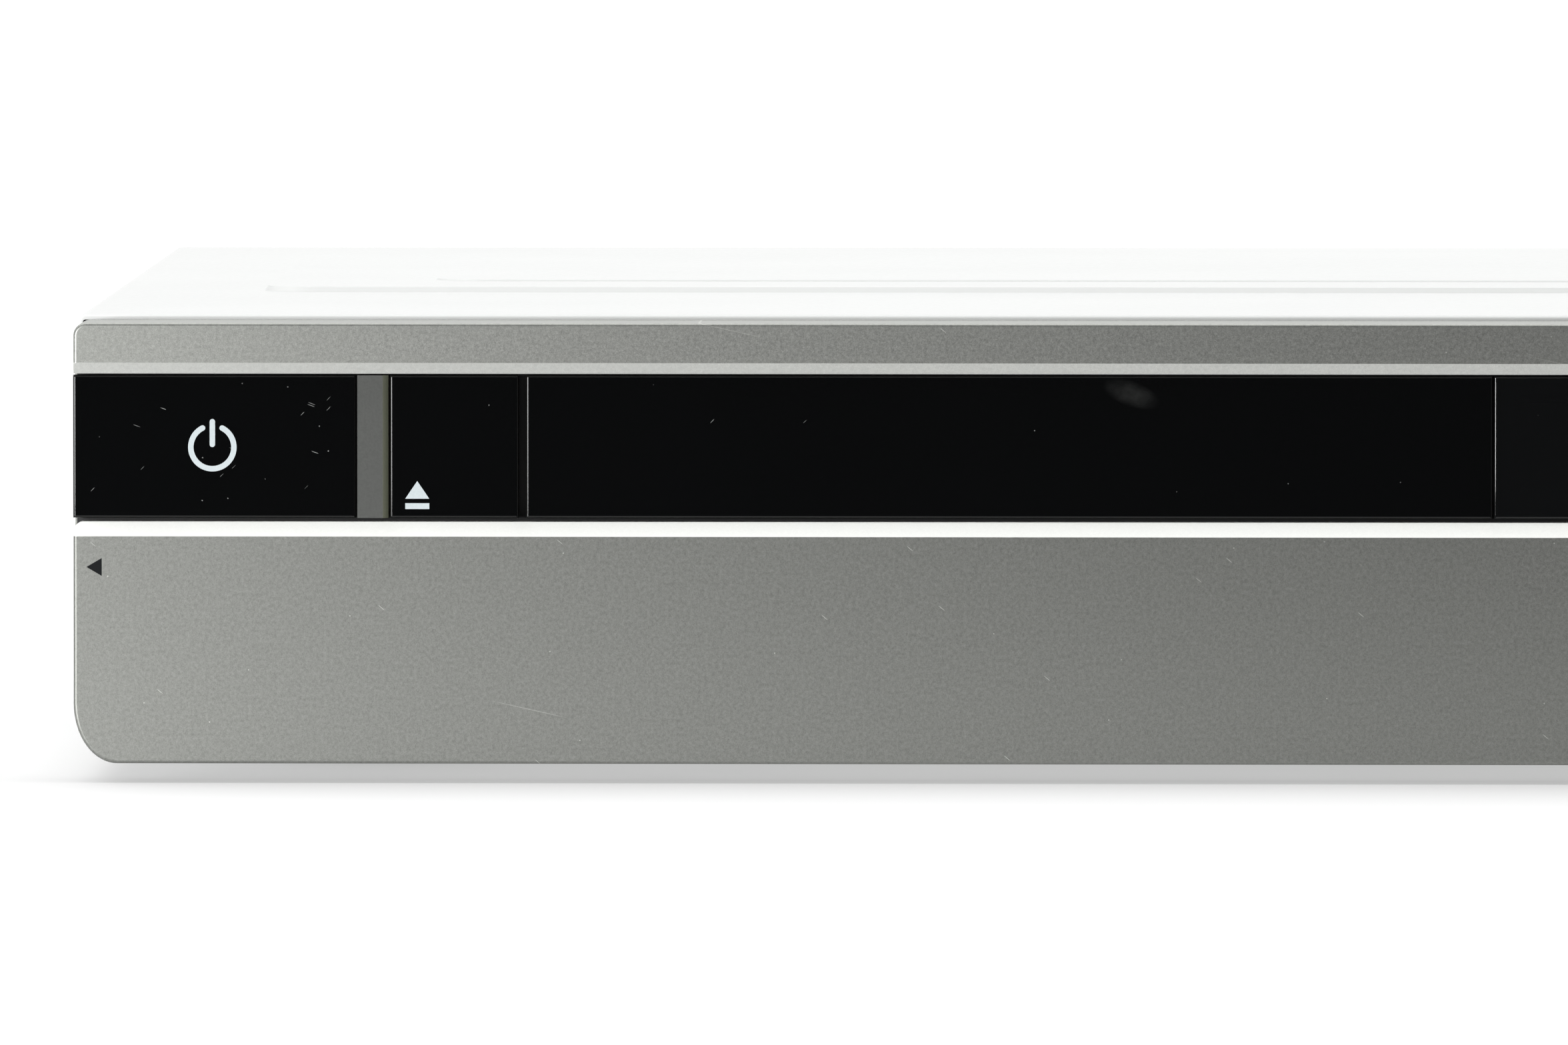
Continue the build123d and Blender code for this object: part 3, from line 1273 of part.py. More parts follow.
with BuildPart() as main_board_chips:
    package_block(chip_x, chip_depth, package, board_top, board_top + package_height)
    package_block(chip_x, chip_depth, sink_base, board_top + package_height, board_top + package_height + 2.0)
    for fin in range(8):
        left = chip_x - sink_base / 2 + fin * (sink_base - fin_thick) / 7
        depths = (chip_depth - sink_base / 2, chip_depth + sink_base / 2)
        block(left, left + fin_thick, *depths, board_top + package_height + 2.0, board_top + 14.0)
    for across, along, size in small_chips:
        package_block(chip_x + across, chip_depth + along, size, board_top, board_top + 1.6)
    for x in cap_xs:
        bar(main_edges[0] + x, rear_inside - 50.0, board_top, UP, 4.0, 11.0)
    edges = (connector_x, connector_x + connector_size[0])
    depths = (connector_depth, connector_depth + connector_size[1])
    block(*edges, *depths, board_top, board_top + connector_size[2])

with BuildPart() as tuner_module:
    edges = (tuner_x - tuner_width / 2, tuner_x + tuner_width / 2)
    block(*edges, rear_inside - tuner_length, rear_inside, board_top, board_top + tuner_height)
    for x in aerial_xs:
        bar(x, rear_inside, tuner_z, BACK, aerial_radius, cover_sheet + jack_reach)
        bore(x, rear_inside + 2.0, tuner_z, BACK, aerial_radius - 0.7, jack_reach)
        bar(x, rear_inside + 2.0, tuner_z, BACK, 1.2, 6.0)

with BuildPart() as scart_sockets:
    scart_end = body_depth + scart_stand
    hollow = scart_outline(scart_end, scart_width - 2 * scart_rim, scart_height - 2 * scart_rim)
    extrude(scart_outline(scart_end, scart_width, scart_height), amount=scart_length)
    extrude(hollow, amount=scart_depth, mode=Mode.SUBTRACT)
    for x in scart_xs:
        for row in (-1, 1):
            for blade in range(blade_count):
                left = x - 18.5 + blade_pitch * blade
                low = scart_z + row * 4.6 - 1.0
                block(left, left + 0.8, scart_end - scart_depth, scart_end - 1.5, low, low + 2.0)
        legs = (x - 20.0, x + 20.0)
        block(*legs, scart_end - scart_length, rear_inside - 1.0, board_top, scart_z - scart_height / 2)

with BuildPart() as ribbon_cable:
    ribbon_low = pan_top + 2.6
    ribbon_high = loader_floor + 1.5
    route_end = connector_x + connector_size[0] / 2
    with BuildSketch(facing(connector_depth + 22.0)) as ribbon:
        with BuildLine() as route:
            Polyline(
                (loader(40.0), ribbon_low),
                (loader(74.0), ribbon_low),
                (right_bay[0] + 6.2, ribbon_high),
                (route_end, ribbon_high),
                (route_end, board_top + connector_size[2]),
            )
            fillet(route.vertices().sort_by(Axis.X)[1:-1], 2.0)
        trace(line_width=ribbon_thick)
    extrude(amount=ribbon_width)

# ---- Fan
fan_front = rear_inside - fan_thick
strut = 1.6

with BuildPart() as fan_frame:
    with BuildSketch(facing(rear_inside)):
        with Locations((fan_x, fan_z)):
            RectangleRounded(fan_size, fan_size, 3.0)
            Circle(fan_bore, mode=Mode.SUBTRACT)
        with Locations(*fan_screws):
            Circle(screw_shank + running, mode=Mode.SUBTRACT)
    extrude(amount=fan_thick)
    bar(fan_x, fan_front, fan_z, BACK, fan_hub - 0.5, strut)
    with BuildSketch(facing(fan_front + strut)):
        with Locations((fan_x, fan_z)):
            Rectangle(2 * fan_bore + 1.0, 3.0)
            Rectangle(3.0, 2 * fan_bore + 1.0)
    extrude(amount=strut)
    bore(fan_x, fan_front, fan_z, BACK, 1.0 + running, strut)

with BuildPart() as fan_rotor:
    rotor_front = fan_front + strut + 0.4
    bar(fan_x, rotor_front, fan_z, BACK, fan_hub, 7.2)
    bar(fan_x, rotor_front, fan_z, FRONT, 1.0, strut + 0.2)
    for blade in range(fan_blades):
        turn = 2 * pi * blade / fan_blades
        blade_root = Plane(
            origin=(fan_x + 8.5 * cos(turn), behind(rotor_front + 3.6), fan_z + 8.5 * sin(turn)),
            x_dir=(-sin(turn), 0, cos(turn)),
            z_dir=(cos(turn), 0, sin(turn)),
        )
        with BuildSketch(blade_root):
            Rectangle(7.5, 1.0, rotation=35)
        extrude(amount=fan_bore - 9.5)

# ---- Files
pieces = {
    "base_chassis": base_chassis,
    "top_cover": top_cover,
    "rear_panel": rear_panel,
    "front_bezel": front_bezel,
    "feet": feet,
    "foot_pads": foot_pads,
    "foot_screws": foot_screws,
    "case_screws": case_screws,
    "front_flap": front_flap,
    "flap_hinge_pins": flap_hinge_pins,
    "flap_damper": flap_damper,
    "flap_catch": flap_catch,
    "power_button": power_button,
    "eject_button": eject_button,
    "stop_button": stop_button,
    "play_button": play_button,
    "divider_strips": divider_strips,
    "display_window": display_window,
    "key_switches": key_switches,
    "key_board": key_board,
    "display_board": display_board,
    "display_module": display_module,
    "indicator_lamps": indicator_lamps,
    "jack_board": jack_board,
    "jack_housings": jack_housings,
    "jack_barrels": jack_barrels,
    "front_data_sockets": front_data_sockets,
    "loader_frame": loader_frame,
    "loader_brackets": loader_brackets,
    "clamp_bridge": clamp_bridge,
    "loader_screws": loader_screws,
    "clamper": clamper,
    "disc_tray": disc_tray,
    "tray_door": tray_door,
    "loading_motor": loading_motor,
    "motor_pulley": motor_pulley,
    "loading_belt": loading_belt,
    "pulley_gear": pulley_gear,
    "tray_gear": tray_gear,
    "cam_slider": cam_slider,
    "traverse_plate": traverse_plate,
    "spindle_motor": spindle_motor,
    "turntable": turntable,
    "guide_rods": guide_rods,
    "optical_pickup": optical_pickup,
    "objective_lens": objective_lens,
    "lead_screw": lead_screw,
    "sled_motor": sled_motor,
    "power_board": power_board,
    "transformer": transformer,
    "power_capacitors": power_capacitors,
    "power_heatsinks": power_heatsinks,
    "mains_inlet": mains_inlet,
    "main_board": main_board,
    "main_board_chips": main_board_chips,
    "tuner_module": tuner_module,
    "scart_sockets": scart_sockets,
    "ribbon_cable": ribbon_cable,
    "fan_frame": fan_frame,
    "fan_rotor": fan_rotor,
}
for name, piece in pieces.items():
    piece.part.label = name
    export_step(piece.part, f"parts/{name}.step")
print(len(pieces), "pieces; front face at", front_y, "top at", case_top)
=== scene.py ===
import math

import bpy
import numpy as np
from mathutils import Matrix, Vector


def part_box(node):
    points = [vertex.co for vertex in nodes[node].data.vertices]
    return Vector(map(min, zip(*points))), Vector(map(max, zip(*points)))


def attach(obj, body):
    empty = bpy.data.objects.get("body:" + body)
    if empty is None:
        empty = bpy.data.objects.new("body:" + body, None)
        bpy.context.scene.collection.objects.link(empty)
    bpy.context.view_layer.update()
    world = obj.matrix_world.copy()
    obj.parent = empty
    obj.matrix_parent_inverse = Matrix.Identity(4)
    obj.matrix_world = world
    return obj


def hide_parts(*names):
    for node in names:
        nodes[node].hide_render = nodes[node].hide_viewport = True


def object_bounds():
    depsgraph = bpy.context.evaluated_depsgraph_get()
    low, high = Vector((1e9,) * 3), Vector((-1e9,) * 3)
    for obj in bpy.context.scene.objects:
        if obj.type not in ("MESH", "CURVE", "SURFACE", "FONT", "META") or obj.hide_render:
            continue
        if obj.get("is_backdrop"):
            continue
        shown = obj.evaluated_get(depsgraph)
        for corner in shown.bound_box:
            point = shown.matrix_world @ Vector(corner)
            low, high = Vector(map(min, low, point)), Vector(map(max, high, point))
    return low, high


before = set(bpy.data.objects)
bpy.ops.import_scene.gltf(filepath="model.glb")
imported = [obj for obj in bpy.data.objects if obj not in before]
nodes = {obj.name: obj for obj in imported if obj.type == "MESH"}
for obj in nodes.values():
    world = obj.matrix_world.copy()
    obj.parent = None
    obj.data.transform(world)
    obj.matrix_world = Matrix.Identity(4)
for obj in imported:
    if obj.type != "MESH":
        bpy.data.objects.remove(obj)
cadLow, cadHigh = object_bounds()
mm = 0.001
scene = bpy.context.scene
print("frame loaded:", len(nodes), "nodes")


# Meshes from arrays

def inScene(name, data):  # an object for a mesh, a light or a camera
    made = bpy.data.objects.new(name, data)
    scene.collection.objects.link(made)
    return made


# Joins an array of points, stations by points round the profile, into a skin of four-sided faces.
# Vertex number = station * count + place in the profile, and each face takes four neighbours. The
# two ends are capped, unless the last station joins on to the first again.
def skin(name, points, looped=False, smooth=True):
    points = np.asarray(points, float)
    stations, count = points.shape[:2]
    index = np.arange(stations * count).reshape(stations, count)
    across = np.concatenate([index, index[:, :1]], axis=1)
    if looped:
        across = np.concatenate([across, across[:1]], axis=0)
    corners = [across[:-1, :-1], across[:-1, 1:], across[1:, 1:], across[1:, :-1]]
    faces = np.stack(corners, axis=-1).reshape(-1, 4).tolist()
    if not looped:
        faces += [index[0, ::-1].tolist(), index[-1].tolist()]
    mesh = bpy.data.meshes.new(name)
    mesh.from_pydata(points.reshape(-1, 3).tolist(), [], faces)
    mesh.update()
    mesh.shade_smooth() if smooth else mesh.shade_flat()
    return inScene(name, mesh)


# Several skins as one object: each part's vertex numbers move up by the vertices before it, and the
# parts' own objects go.
def joined(name, parts):
    vertices, faces, smooth = [], [], []
    for part in parts:
        start = len(vertices)
        vertices += [tuple(v.co) for v in part.data.vertices]
        faces += [[start + v for v in polygon.vertices] for polygon in part.data.polygons]
        smooth += [polygon.use_smooth for polygon in part.data.polygons]
    mesh = bpy.data.meshes.new(name)
    mesh.from_pydata(vertices, [], faces)
    mesh.polygons.foreach_set("use_smooth", smooth)
    mesh.update()
    for part in parts:
        old = part.data
        bpy.data.objects.remove(part)
        bpy.data.meshes.remove(old)
    return inScene(name, mesh)


# A flat print: an outline in X and Z, carried a hair's breadth to both sides of its face along Y.
def printed(name, outline, face, thick=0.02 * mm):
    outline = np.asarray(outline, float)
    points = np.zeros((2, len(outline), 3))
    points[:, :, 0] = outline[None, :, 0]
    points[:, :, 1] = np.array([face + thick, face - thick])[:, None]
    points[:, :, 2] = outline[None, :, 1]
    return skin(name, points, smooth=False)


# Materials: place is a point of the piece in metres, and each helper adds one step to the finish

def newMaterial(name, look):  # values that are the same all over go straight on the shader's sockets
    material = bpy.data.materials.new(name)
    material.use_nodes = True
    tree = material.node_tree
    shader = tree.nodes["Principled BSDF"]
    for socket, value in look.items():
        shader.inputs[socket].default_value = value
    place = tree.nodes.new("ShaderNodeTexCoord").outputs["Object"]
    return material, tree, shader, place


def feed(tree, shader, **sources):  # links what varies over the surface
    sockets = {"colour": "Base Color", "roughness": "Roughness", "metallic": "Metallic"}
    for what, source in sources.items():
        tree.links.new(source, shader.inputs[sockets[what]])


def grain(tree, place, size, detail=2.0, rough=0.5):  # noise whose blotches are about size across
    node = tree.nodes.new("ShaderNodeTexNoise")
    node.inputs["Scale"].default_value = 1 / size
    node.inputs["Detail"].default_value = detail
    node.inputs["Roughness"].default_value = rough
    tree.links.new(place, node.inputs["Vector"])
    return node.outputs["Fac"]


# Noise whose blotches have a size of their own along X, Y and Z: place is divided by them first.
def streaks(tree, place, size, detail):
    node = tree.nodes.new("ShaderNodeMapping")
    node.inputs["Scale"].default_value = tuple(1 / length for length in size)
    tree.links.new(place, node.inputs["Vector"])
    return grain(tree, node.outputs["Vector"], 1.0, detail)


# Scattered points about spacing apart: the distance to the nearest in spacings, and a colour for
# each one's cell. Flat patterns read X and Y alone.
def spots(tree, place, spacing, flat=False):
    node = tree.nodes.new("ShaderNodeTexVoronoi")
    node.voronoi_dimensions = "2D" if flat else "3D"
    node.inputs["Scale"].default_value = 1 / spacing
    tree.links.new(place, node.inputs["Vector"])
    return node


def levels(tree, value, low, high, toLow=0.0, toHigh=1.0):  # low..high becomes toLow..toHigh, held
    node = tree.nodes.new("ShaderNodeMapRange")
    node.inputs["From Min"].default_value = low
    node.inputs["From Max"].default_value = high
    node.inputs["To Min"].default_value = toLow
    node.inputs["To Max"].default_value = toHigh
    tree.links.new(value, node.inputs["Value"])
    return node.outputs["Result"]


def spread(tree, noise, toLow=0.0, toHigh=1.0):  # the same for 0.3..0.7, where noise mostly lies
    return levels(tree, noise, 0.3, 0.7, toLow, toHigh)


def above(tree, value, start, soft=0.04 * mm):  # 0 below start and 1 above it
    return levels(tree, value, start - soft, start + soft)


def below(tree, value, stop, soft=0.04 * mm):  # 1 below stop and 0 above it
    return levels(tree, value, stop - soft, stop + soft, 1.0, 0.0)


def arithmetic(tree, what, first, second):  # each a number or a socket
    node = tree.nodes.new("ShaderNodeMath")
    node.operation = what
    node.use_clamp = what in ("MULTIPLY", "MAXIMUM")
    for socket, value in zip(node.inputs, (first, second)):
        if isinstance(value, (int, float)):
            socket.default_value = value
        else:
            tree.links.new(value, socket)
    return node.outputs[0]


def product(tree, first, second):  # held to 0..1
    return arithmetic(tree, "MULTIPLY", first, second)


def larger(tree, first, second):  # held to 0..1 too
    return arithmetic(tree, "MAXIMUM", first, second)


def fromMiddle(tree, value, middle):  # distance to either side
    return arithmetic(tree, "ABSOLUTE", arithmetic(tree, "SUBTRACT", value, middle), 0.0)


def blended(tree, factor, first, second):  # a colour between two, each a colour or a socket
    node = tree.nodes.new("ShaderNodeMix")
    node.data_type = "RGBA"
    colours = [s for s in node.inputs if s.type == "RGBA"]
    tree.links.new(factor, node.inputs["Factor"])
    for socket, value in zip(colours, (first, second)):
        if isinstance(value, tuple):
            socket.default_value = (*value, 1)
        else:
            tree.links.new(value, socket)
    return next(s for s in node.outputs if s.type == "RGBA")


def raised(tree, shader, height, depth, strength):  # bump, depth in metres
    node = tree.nodes.new("ShaderNodeBump")
    node.inputs["Strength"].default_value = strength
    node.inputs["Distance"].default_value = depth
    tree.links.new(height, node.inputs["Height"])
    tree.links.new(node.outputs["Normal"], shader.inputs["Normal"])


def axisOf(tree, vector, axis):  # 0, 1 or 2 for X, Y or Z, or for red, green or blue
    node = tree.nodes.new("ShaderNodeSeparateXYZ")
    tree.links.new(vector, node.inputs[0])
    return node.outputs[axis]


def facing(tree, axis):  # how far the surface's normal points along an axis
    geometry = tree.nodes.new("ShaderNodeNewGeometry")
    return axisOf(tree, geometry.outputs["Normal"], axis)


# X and Z measured from a middle, turned about Y, then divided by a scale, for patterns in the
# front's plane.
def laidFlat(tree, place, turn=0.0, scale=(1.0, 1.0), middle=(0.0, 0.0, 0.0)):
    node = tree.nodes.new("ShaderNodeMapping")
    node.vector_type = "TEXTURE"
    node.inputs["Location"].default_value = middle
    node.inputs["Rotation"].default_value = (-math.pi / 2, turn, 0)
    node.inputs["Scale"].default_value = (*scale, 1.0)
    tree.links.new(place, node.inputs["Vector"])
    return node.outputs["Vector"]


# Scratches: scattered cells of a flat pattern that is squeezed across the scratch, so that a cell's
# middle, within 0.30..0.42 of its size, becomes a fine stroke. Only the given share of the cells is
# kept.
def scratches(tree, place, turn, length, width, share):
    cells = spots(tree, laidFlat(tree, place, turn, (length, width)), 1.0, flat=True)
    stroke = levels(tree, cells.outputs["Distance"], 0.30, 0.42, 1.0, 0.0)
    chosen = axisOf(tree, cells.outputs["Color"], 0)
    return product(tree, stroke, levels(tree, chosen, 1 - share, 1 - 0.8 * share))


# Dust: the middles of scattered flat cells, their rims pulled about by fine noise, in the given
# share of the cells. A speck is where distance + noise * radius is under 0.5..0.7 of the radius,
# with noise 0..0.5.
def dust(tree, place, spacing, size, share):
    cells = spots(tree, place, spacing, flat=True)
    ragged = spread(tree, grain(tree, place, size * 0.7, 2.0), -0.5, 0.5)
    radius = size / spacing
    distance = arithmetic(tree, "ADD", cells.outputs["Distance"], product(tree, ragged, radius))
    dots = levels(tree, distance, radius * 0.5, radius * 0.7, 1.0, 0.0)
    chosen = axisOf(tree, cells.outputs["Color"], 0)
    return product(tree, dots, levels(tree, chosen, 1 - share, 1 - share + 0.01))


# The silver parts' tones: darkest and lightest flakes on the face turned to the front and on
# the bevel, the heights between which the bevel lies, down from the piece's top, and how far back
# the paint reaches. Flap and bezel are one paint: the bevel tones are painted highlights, and the
# two front tones are painted light and shade, the flap's darker than the bezel's.
flapLook = {
    "front": ((0.195, 0.199, 0.186), (0.312, 0.319, 0.300)),
    # the flap's bevel: a painted highlight, far paler than the same paint on its front
    "bevel": ((0.90, 0.91, 0.88), (0.97, 0.98, 0.95)),
    "bevelSpan": (2.2 * mm, -1.0 * mm),
    "paintDepth": 2.0 * mm,
}
bezelLook = {
    "front": ((0.255, 0.261, 0.245), (0.408, 0.417, 0.392)),
    # the bezel's bevel: a painted highlight, paler than the same paint on its front
    "bevel": ((0.575, 0.585, 0.56), (0.72, 0.73, 0.70)),
    "bevelSpan": (8.0 * mm, 6.1 * mm),
    "paintDepth": 2.7 * mm,
}
silverLook = {
    "inside": (0.014, 0.014, 0.015),  # bare plastic behind the painted front
    "skin": 0.3 * mm,  # paint's reach in from the part's outer sides
    "flake": 0.16 * mm,
    "mottle": 0.55 * mm,
    "flakeShare": 0.55,  # mottle has the rest
    "metallic": 0.92,
    "roughness": (0.40, 0.50),
    "grainDepth": 0.006 * mm,
    "mark": (0.86, 0.87, 0.82),
    "longStroke": {"turn": 0.22, "length": 16 * mm, "width": 0.13 * mm, "share": 0.0006},
    "longStrength": 0.22,
    "shortStroke": {"turn": 0.7, "length": 1.6 * mm, "width": 0.13 * mm, "share": 0.0003},
    "shortStrength": 0.5,
    "specks": {"spacing": 17 * mm, "size": 0.17 * mm, "share": 0.5},
    "speckStrength": 0.5,
}


# 1 in the unpainted inside of a front part: deeper than the paint reaches, and clear of the part's
# top, bottom and ends.
def insideOf(tree, place, node, paintDepth, skinThick):
    low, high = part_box(node)
    paintEnd = low.y + paintDepth
    deep = levels(tree, axisOf(tree, place, 1), paintEnd, paintEnd + 0.1 * mm)
    middle = (low.z + high.z) / 2
    away = fromMiddle(tree, axisOf(tree, place, 2), middle)
    top = high.z - middle
    clearOfTop = levels(tree, away, top - 2 * skinThick, top - 1.5 * skinThick, 1.0, 0.0)
    across = fromMiddle(tree, axisOf(tree, place, 0), 0.0)
    clearOfEnds = levels(tree, across, high.x - skinThick, high.x - 0.8 * skinThick, 1.0, 0.0)
    return product(tree, deep, product(tree, clearOfTop, clearOfEnds))


# Metallic paint: colour = darkest..lightest by fine flake noise plus a little wider mottle, with a
# painted highlight on the bevel. A few scratches and specks lie on it.
def silverPaint(name, node, tones, look=silverLook):
    material, tree, shader, place = newMaterial(name, {})
    flake = product(tree, grain(tree, place, look["flake"], 1.0, 0.7), look["flakeShare"])
    mottle = product(tree, grain(tree, place, look["mottle"], 2.0, 0.6), 1 - look["flakeShare"])
    mixed = arithmetic(tree, "ADD", flake, mottle)
    lightness = spread(tree, mixed)
    start, stop = (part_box(node)[1].z - drop for drop in tones["bevelSpan"])
    height = axisOf(tree, place, 2)
    bevelHighlightMask = product(tree, above(tree, height, start), below(tree, height, stop))
    front = blended(tree, lightness, *tones["front"])
    # the bevel's colour is a painted highlight, not a change in the paint
    bevel = blended(tree, lightness, *tones["bevel"])
    faint = product(tree, scratches(tree, place, **look["longStroke"]), look["longStrength"])
    clear = product(tree, scratches(tree, place, **look["shortStroke"]), look["shortStrength"])
    specks = dust(tree, laidFlat(tree, place), **look["specks"])
    marks = larger(tree, larger(tree, faint, clear), product(tree, specks, look["speckStrength"]))
    painted = blended(tree, marks, blended(tree, bevelHighlightMask, front, bevel), look["mark"])
    bare = insideOf(tree, place, node, tones["paintDepth"], look["skin"])
    feed(
        tree, shader,
        colour=blended(tree, bare, painted, look["inside"]),
        metallic=levels(tree, bare, 0, 1, look["metallic"], 0.0),
        roughness=spread(tree, mixed, *look["roughness"]),
    )
    raised(tree, shader, mixed, look["grainDepth"], 0.5)
    return material


glossLook = {
    "shader": {"IOR": 1.46, "Specular IOR Level": 0.40},
    "base": (0.0020, 0.0022, 0.0024),
    # painted highlight along the front's rounded edge: a little paler than the base
    "edge": (0.007, 0.007, 0.006),
    "round": 0.35 * mm,  # how far back the front's rounded edge reaches
    "edgeRoughness": 0.5,
    "smudge": 34 * mm,
    "roughness": (0.035, 0.12),
    "mark": (0.30, 0.31, 0.30),
    "stroke": {"turn": 0.35, "length": 1.5 * mm, "width": 0.13 * mm},
    "crossing": {"turn": -0.8, "length": 1.1 * mm, "width": 0.12 * mm},
    "fade": 7 * mm,  # patches in which the marks show more or less
}
paleStreakLook = {
    "turn": 0.35,
    "scale": (4.6 * mm, 2.0 * mm),
    "fromRight": 55.2 * mm,
    "belowTop": 2.7 * mm,
    "streak": 1.6 * mm,
    "strength": 0.10,
}
handled = {  # the key that is used most
    "strokeShare": 0.0009,
    "specks": {"spacing": 6.5 * mm, "size": 0.17 * mm, "share": 0.6},
}
clean = {
    "strokeShare": 0.00012,
    "specks": {"spacing": 21 * mm, "size": 0.14 * mm, "share": 0.6},
}


def frontEdge(tree, place):  # 0 on the band's face and 1 past its rounded edge
    face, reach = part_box("tray_door")[0].y, glossLook["round"]
    return levels(tree, axisOf(tree, place, 1), face + 0.15 * reach, face + 0.7 * reach)


def smudged(tree, place, look):  # roughness that drifts in patches, as on gloss that was wiped
    return levels(tree, grain(tree, place, look["smudge"], 3.0), 0.35, 0.75, *look["roughness"])


# A paler, rougher streaked patch near the tray door's upper edge: noise times a patch that is full
# within 0.3 of its reach and gone at the whole of it.
def paleStreakPatch(tree, place, look=paleStreakLook):
    low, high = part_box("tray_door")
    middle = (high.x - look["fromRight"], low.y, high.z - look["belowTop"])
    away = tree.nodes.new("ShaderNodeVectorMath")
    away.operation = "LENGTH"
    tree.links.new(laidFlat(tree, place, look["turn"], look["scale"], middle), away.inputs[0])
    streaked = product(tree, grain(tree, place, look["streak"], 3.0), look["strength"])
    return product(tree, streaked, levels(tree, away.outputs["Value"], 0.3, 1.0, 1.0, 0.0))


# Glossy acrylic: near-black, with a faint painted highlight along the front's rounded edge, a soft
# smudge in its roughness, with a few fine scratches and specks of dust that catch the light, and a
# pale streaked patch.
def blackGloss(name, wear, look=glossLook):
    material, tree, shader, place = newMaterial(name, look["shader"])
    strokes = scratches(tree, place, share=wear["strokeShare"], **look["stroke"])
    crossing = scratches(tree, place, share=wear["strokeShare"], **look["crossing"])
    specks = dust(tree, laidFlat(tree, place), **wear["specks"])
    uneven = levels(tree, grain(tree, place, look["fade"], 1.0), 0.35, 0.65, 0.15, 1.0)
    marks = product(tree, larger(tree, larger(tree, strokes, crossing), specks), uneven)
    marks = larger(tree, marks, paleStreakPatch(tree, place))
    # the rounded edge: a painted highlight in the colour, and a rougher finish
    edgeSheenMask = frontEdge(tree, place)
    edgeSheenedBase = blended(tree, edgeSheenMask, look["base"], look["edge"])
    dulled = larger(tree, marks, product(tree, edgeSheenMask, look["edgeRoughness"]))
    feed(
        tree, shader,
        colour=blended(tree, marks, edgeSheenedBase, look["mark"]),
        roughness=larger(tree, smudged(tree, place, look), dulled),
    )
    return material


windowLook = {
    "shader": {
        "Base Color": (0.006, 0.0065, 0.007, 1),
        "IOR": 1.46,
        "Transmission Weight": 0.35,
        "Specular IOR Level": 0.42,
    },
    "smudge": 30 * mm,
    "roughness": (0.03, 0.1),
    "specks": {"spacing": 14 * mm, "size": 0.16 * mm, "share": 0.4},
}


# Smoked window: the same gloss, and dark enough that the tube behind it hardly shows.
def smokedWindow(name, look=windowLook):
    material, tree, shader, place = newMaterial(name, look["shader"])
    specks = dust(tree, laidFlat(tree, place), **look["specks"])
    dulled = product(tree, larger(tree, specks, frontEdge(tree, place)), 0.5)
    feed(tree, shader, roughness=larger(tree, smudged(tree, place, look), dulled))
    return material


enamelLook = {
    "clouds": ((0.664, 0.672, 0.664), (0.680, 0.688, 0.680)),
    "cloud": 60 * mm,
    # painted highlight: the paler tone of the narrow steps that look to the front
    "step": (0.84, 0.85, 0.84),
    "peel": 0.9 * mm,
    "peelDepth": 0.012 * mm,
    "roughness": (0.40, 0.50),
    "speck": (0.45, 0.45, 0.43),
    "specks": {"spacing": 70 * mm, "size": 0.3 * mm, "share": 0.4},
}


# White stove enamel on steel: nearly even, with orange peel, faint cloudiness and a few specks on
# its top. The narrow steps that look to the front, where the normal's Y is below -0.75..-0.25, get
# a painted highlight: a paler tone that stands in for light the dim front of the room doesn't give
# them.
def whiteEnamel(name, look=enamelLook):
    material, tree, shader, place = newMaterial(name, {"IOR": 1.5, "Specular IOR Level": 0.4})
    cloud = levels(tree, grain(tree, place, look["cloud"], 3.0), 0.35, 0.65)
    litStepMask = levels(tree, facing(tree, 1), -0.75, -0.25, 1.0, 0.0)
    colour = blended(tree, litStepMask, blended(tree, cloud, *look["clouds"]), look["step"])
    specks = product(tree, dust(tree, place, **look["specks"]), 0.5)
    peel = grain(tree, place, look["peel"], 2.0, 0.45)
    feed(
        tree, shader,
        colour=blended(tree, specks, colour, look["speck"]),
        roughness=spread(tree, peel, *look["roughness"]),
    )
    raised(tree, shader, peel, look["peelDepth"], 0.4)
    return material


zincLooks = {  # spangle is the width of a cell, and roll the rolling lines' share of the shading
    "zincPlate": {"tint": (0.60, 0.61, 0.60), "spangle": 7 * mm, "roll": 0.25},
    "traverseSteel": {"tint": (0.66, 0.66, 0.64), "spangle": 4 * mm, "roll": 0.6},
}
rollLine = (0.2 * mm, 25 * mm, 0.2 * mm)  # a rolling line's size along X, Y and Z


# Zinc plate: spangled cells that differ a little in brightness and roughness, crossed by rolling
# lines. Shade = the cell's random value * (1 - roll) + the lines * roll.
def zincPlate(name, tint, spangle, roll):
    material, tree, shader, place = newMaterial(name, {"Metallic": 1.0})
    cell = axisOf(tree, spots(tree, place, spangle).outputs["Color"], 0)
    lines = streaks(tree, place, rollLine, 2.0)
    mixed = arithmetic(tree, "ADD", product(tree, cell, 1 - roll), product(tree, lines, roll))
    dark = tuple(0.82 * c for c in tint)
    feed(
        tree, shader,
        colour=blended(tree, mixed, dark, tint),
        roughness=levels(tree, mixed, 0.1, 0.9, 0.30, 0.44),
    )
    raised(tree, shader, lines, 0.004 * mm, 0.4)
    return material


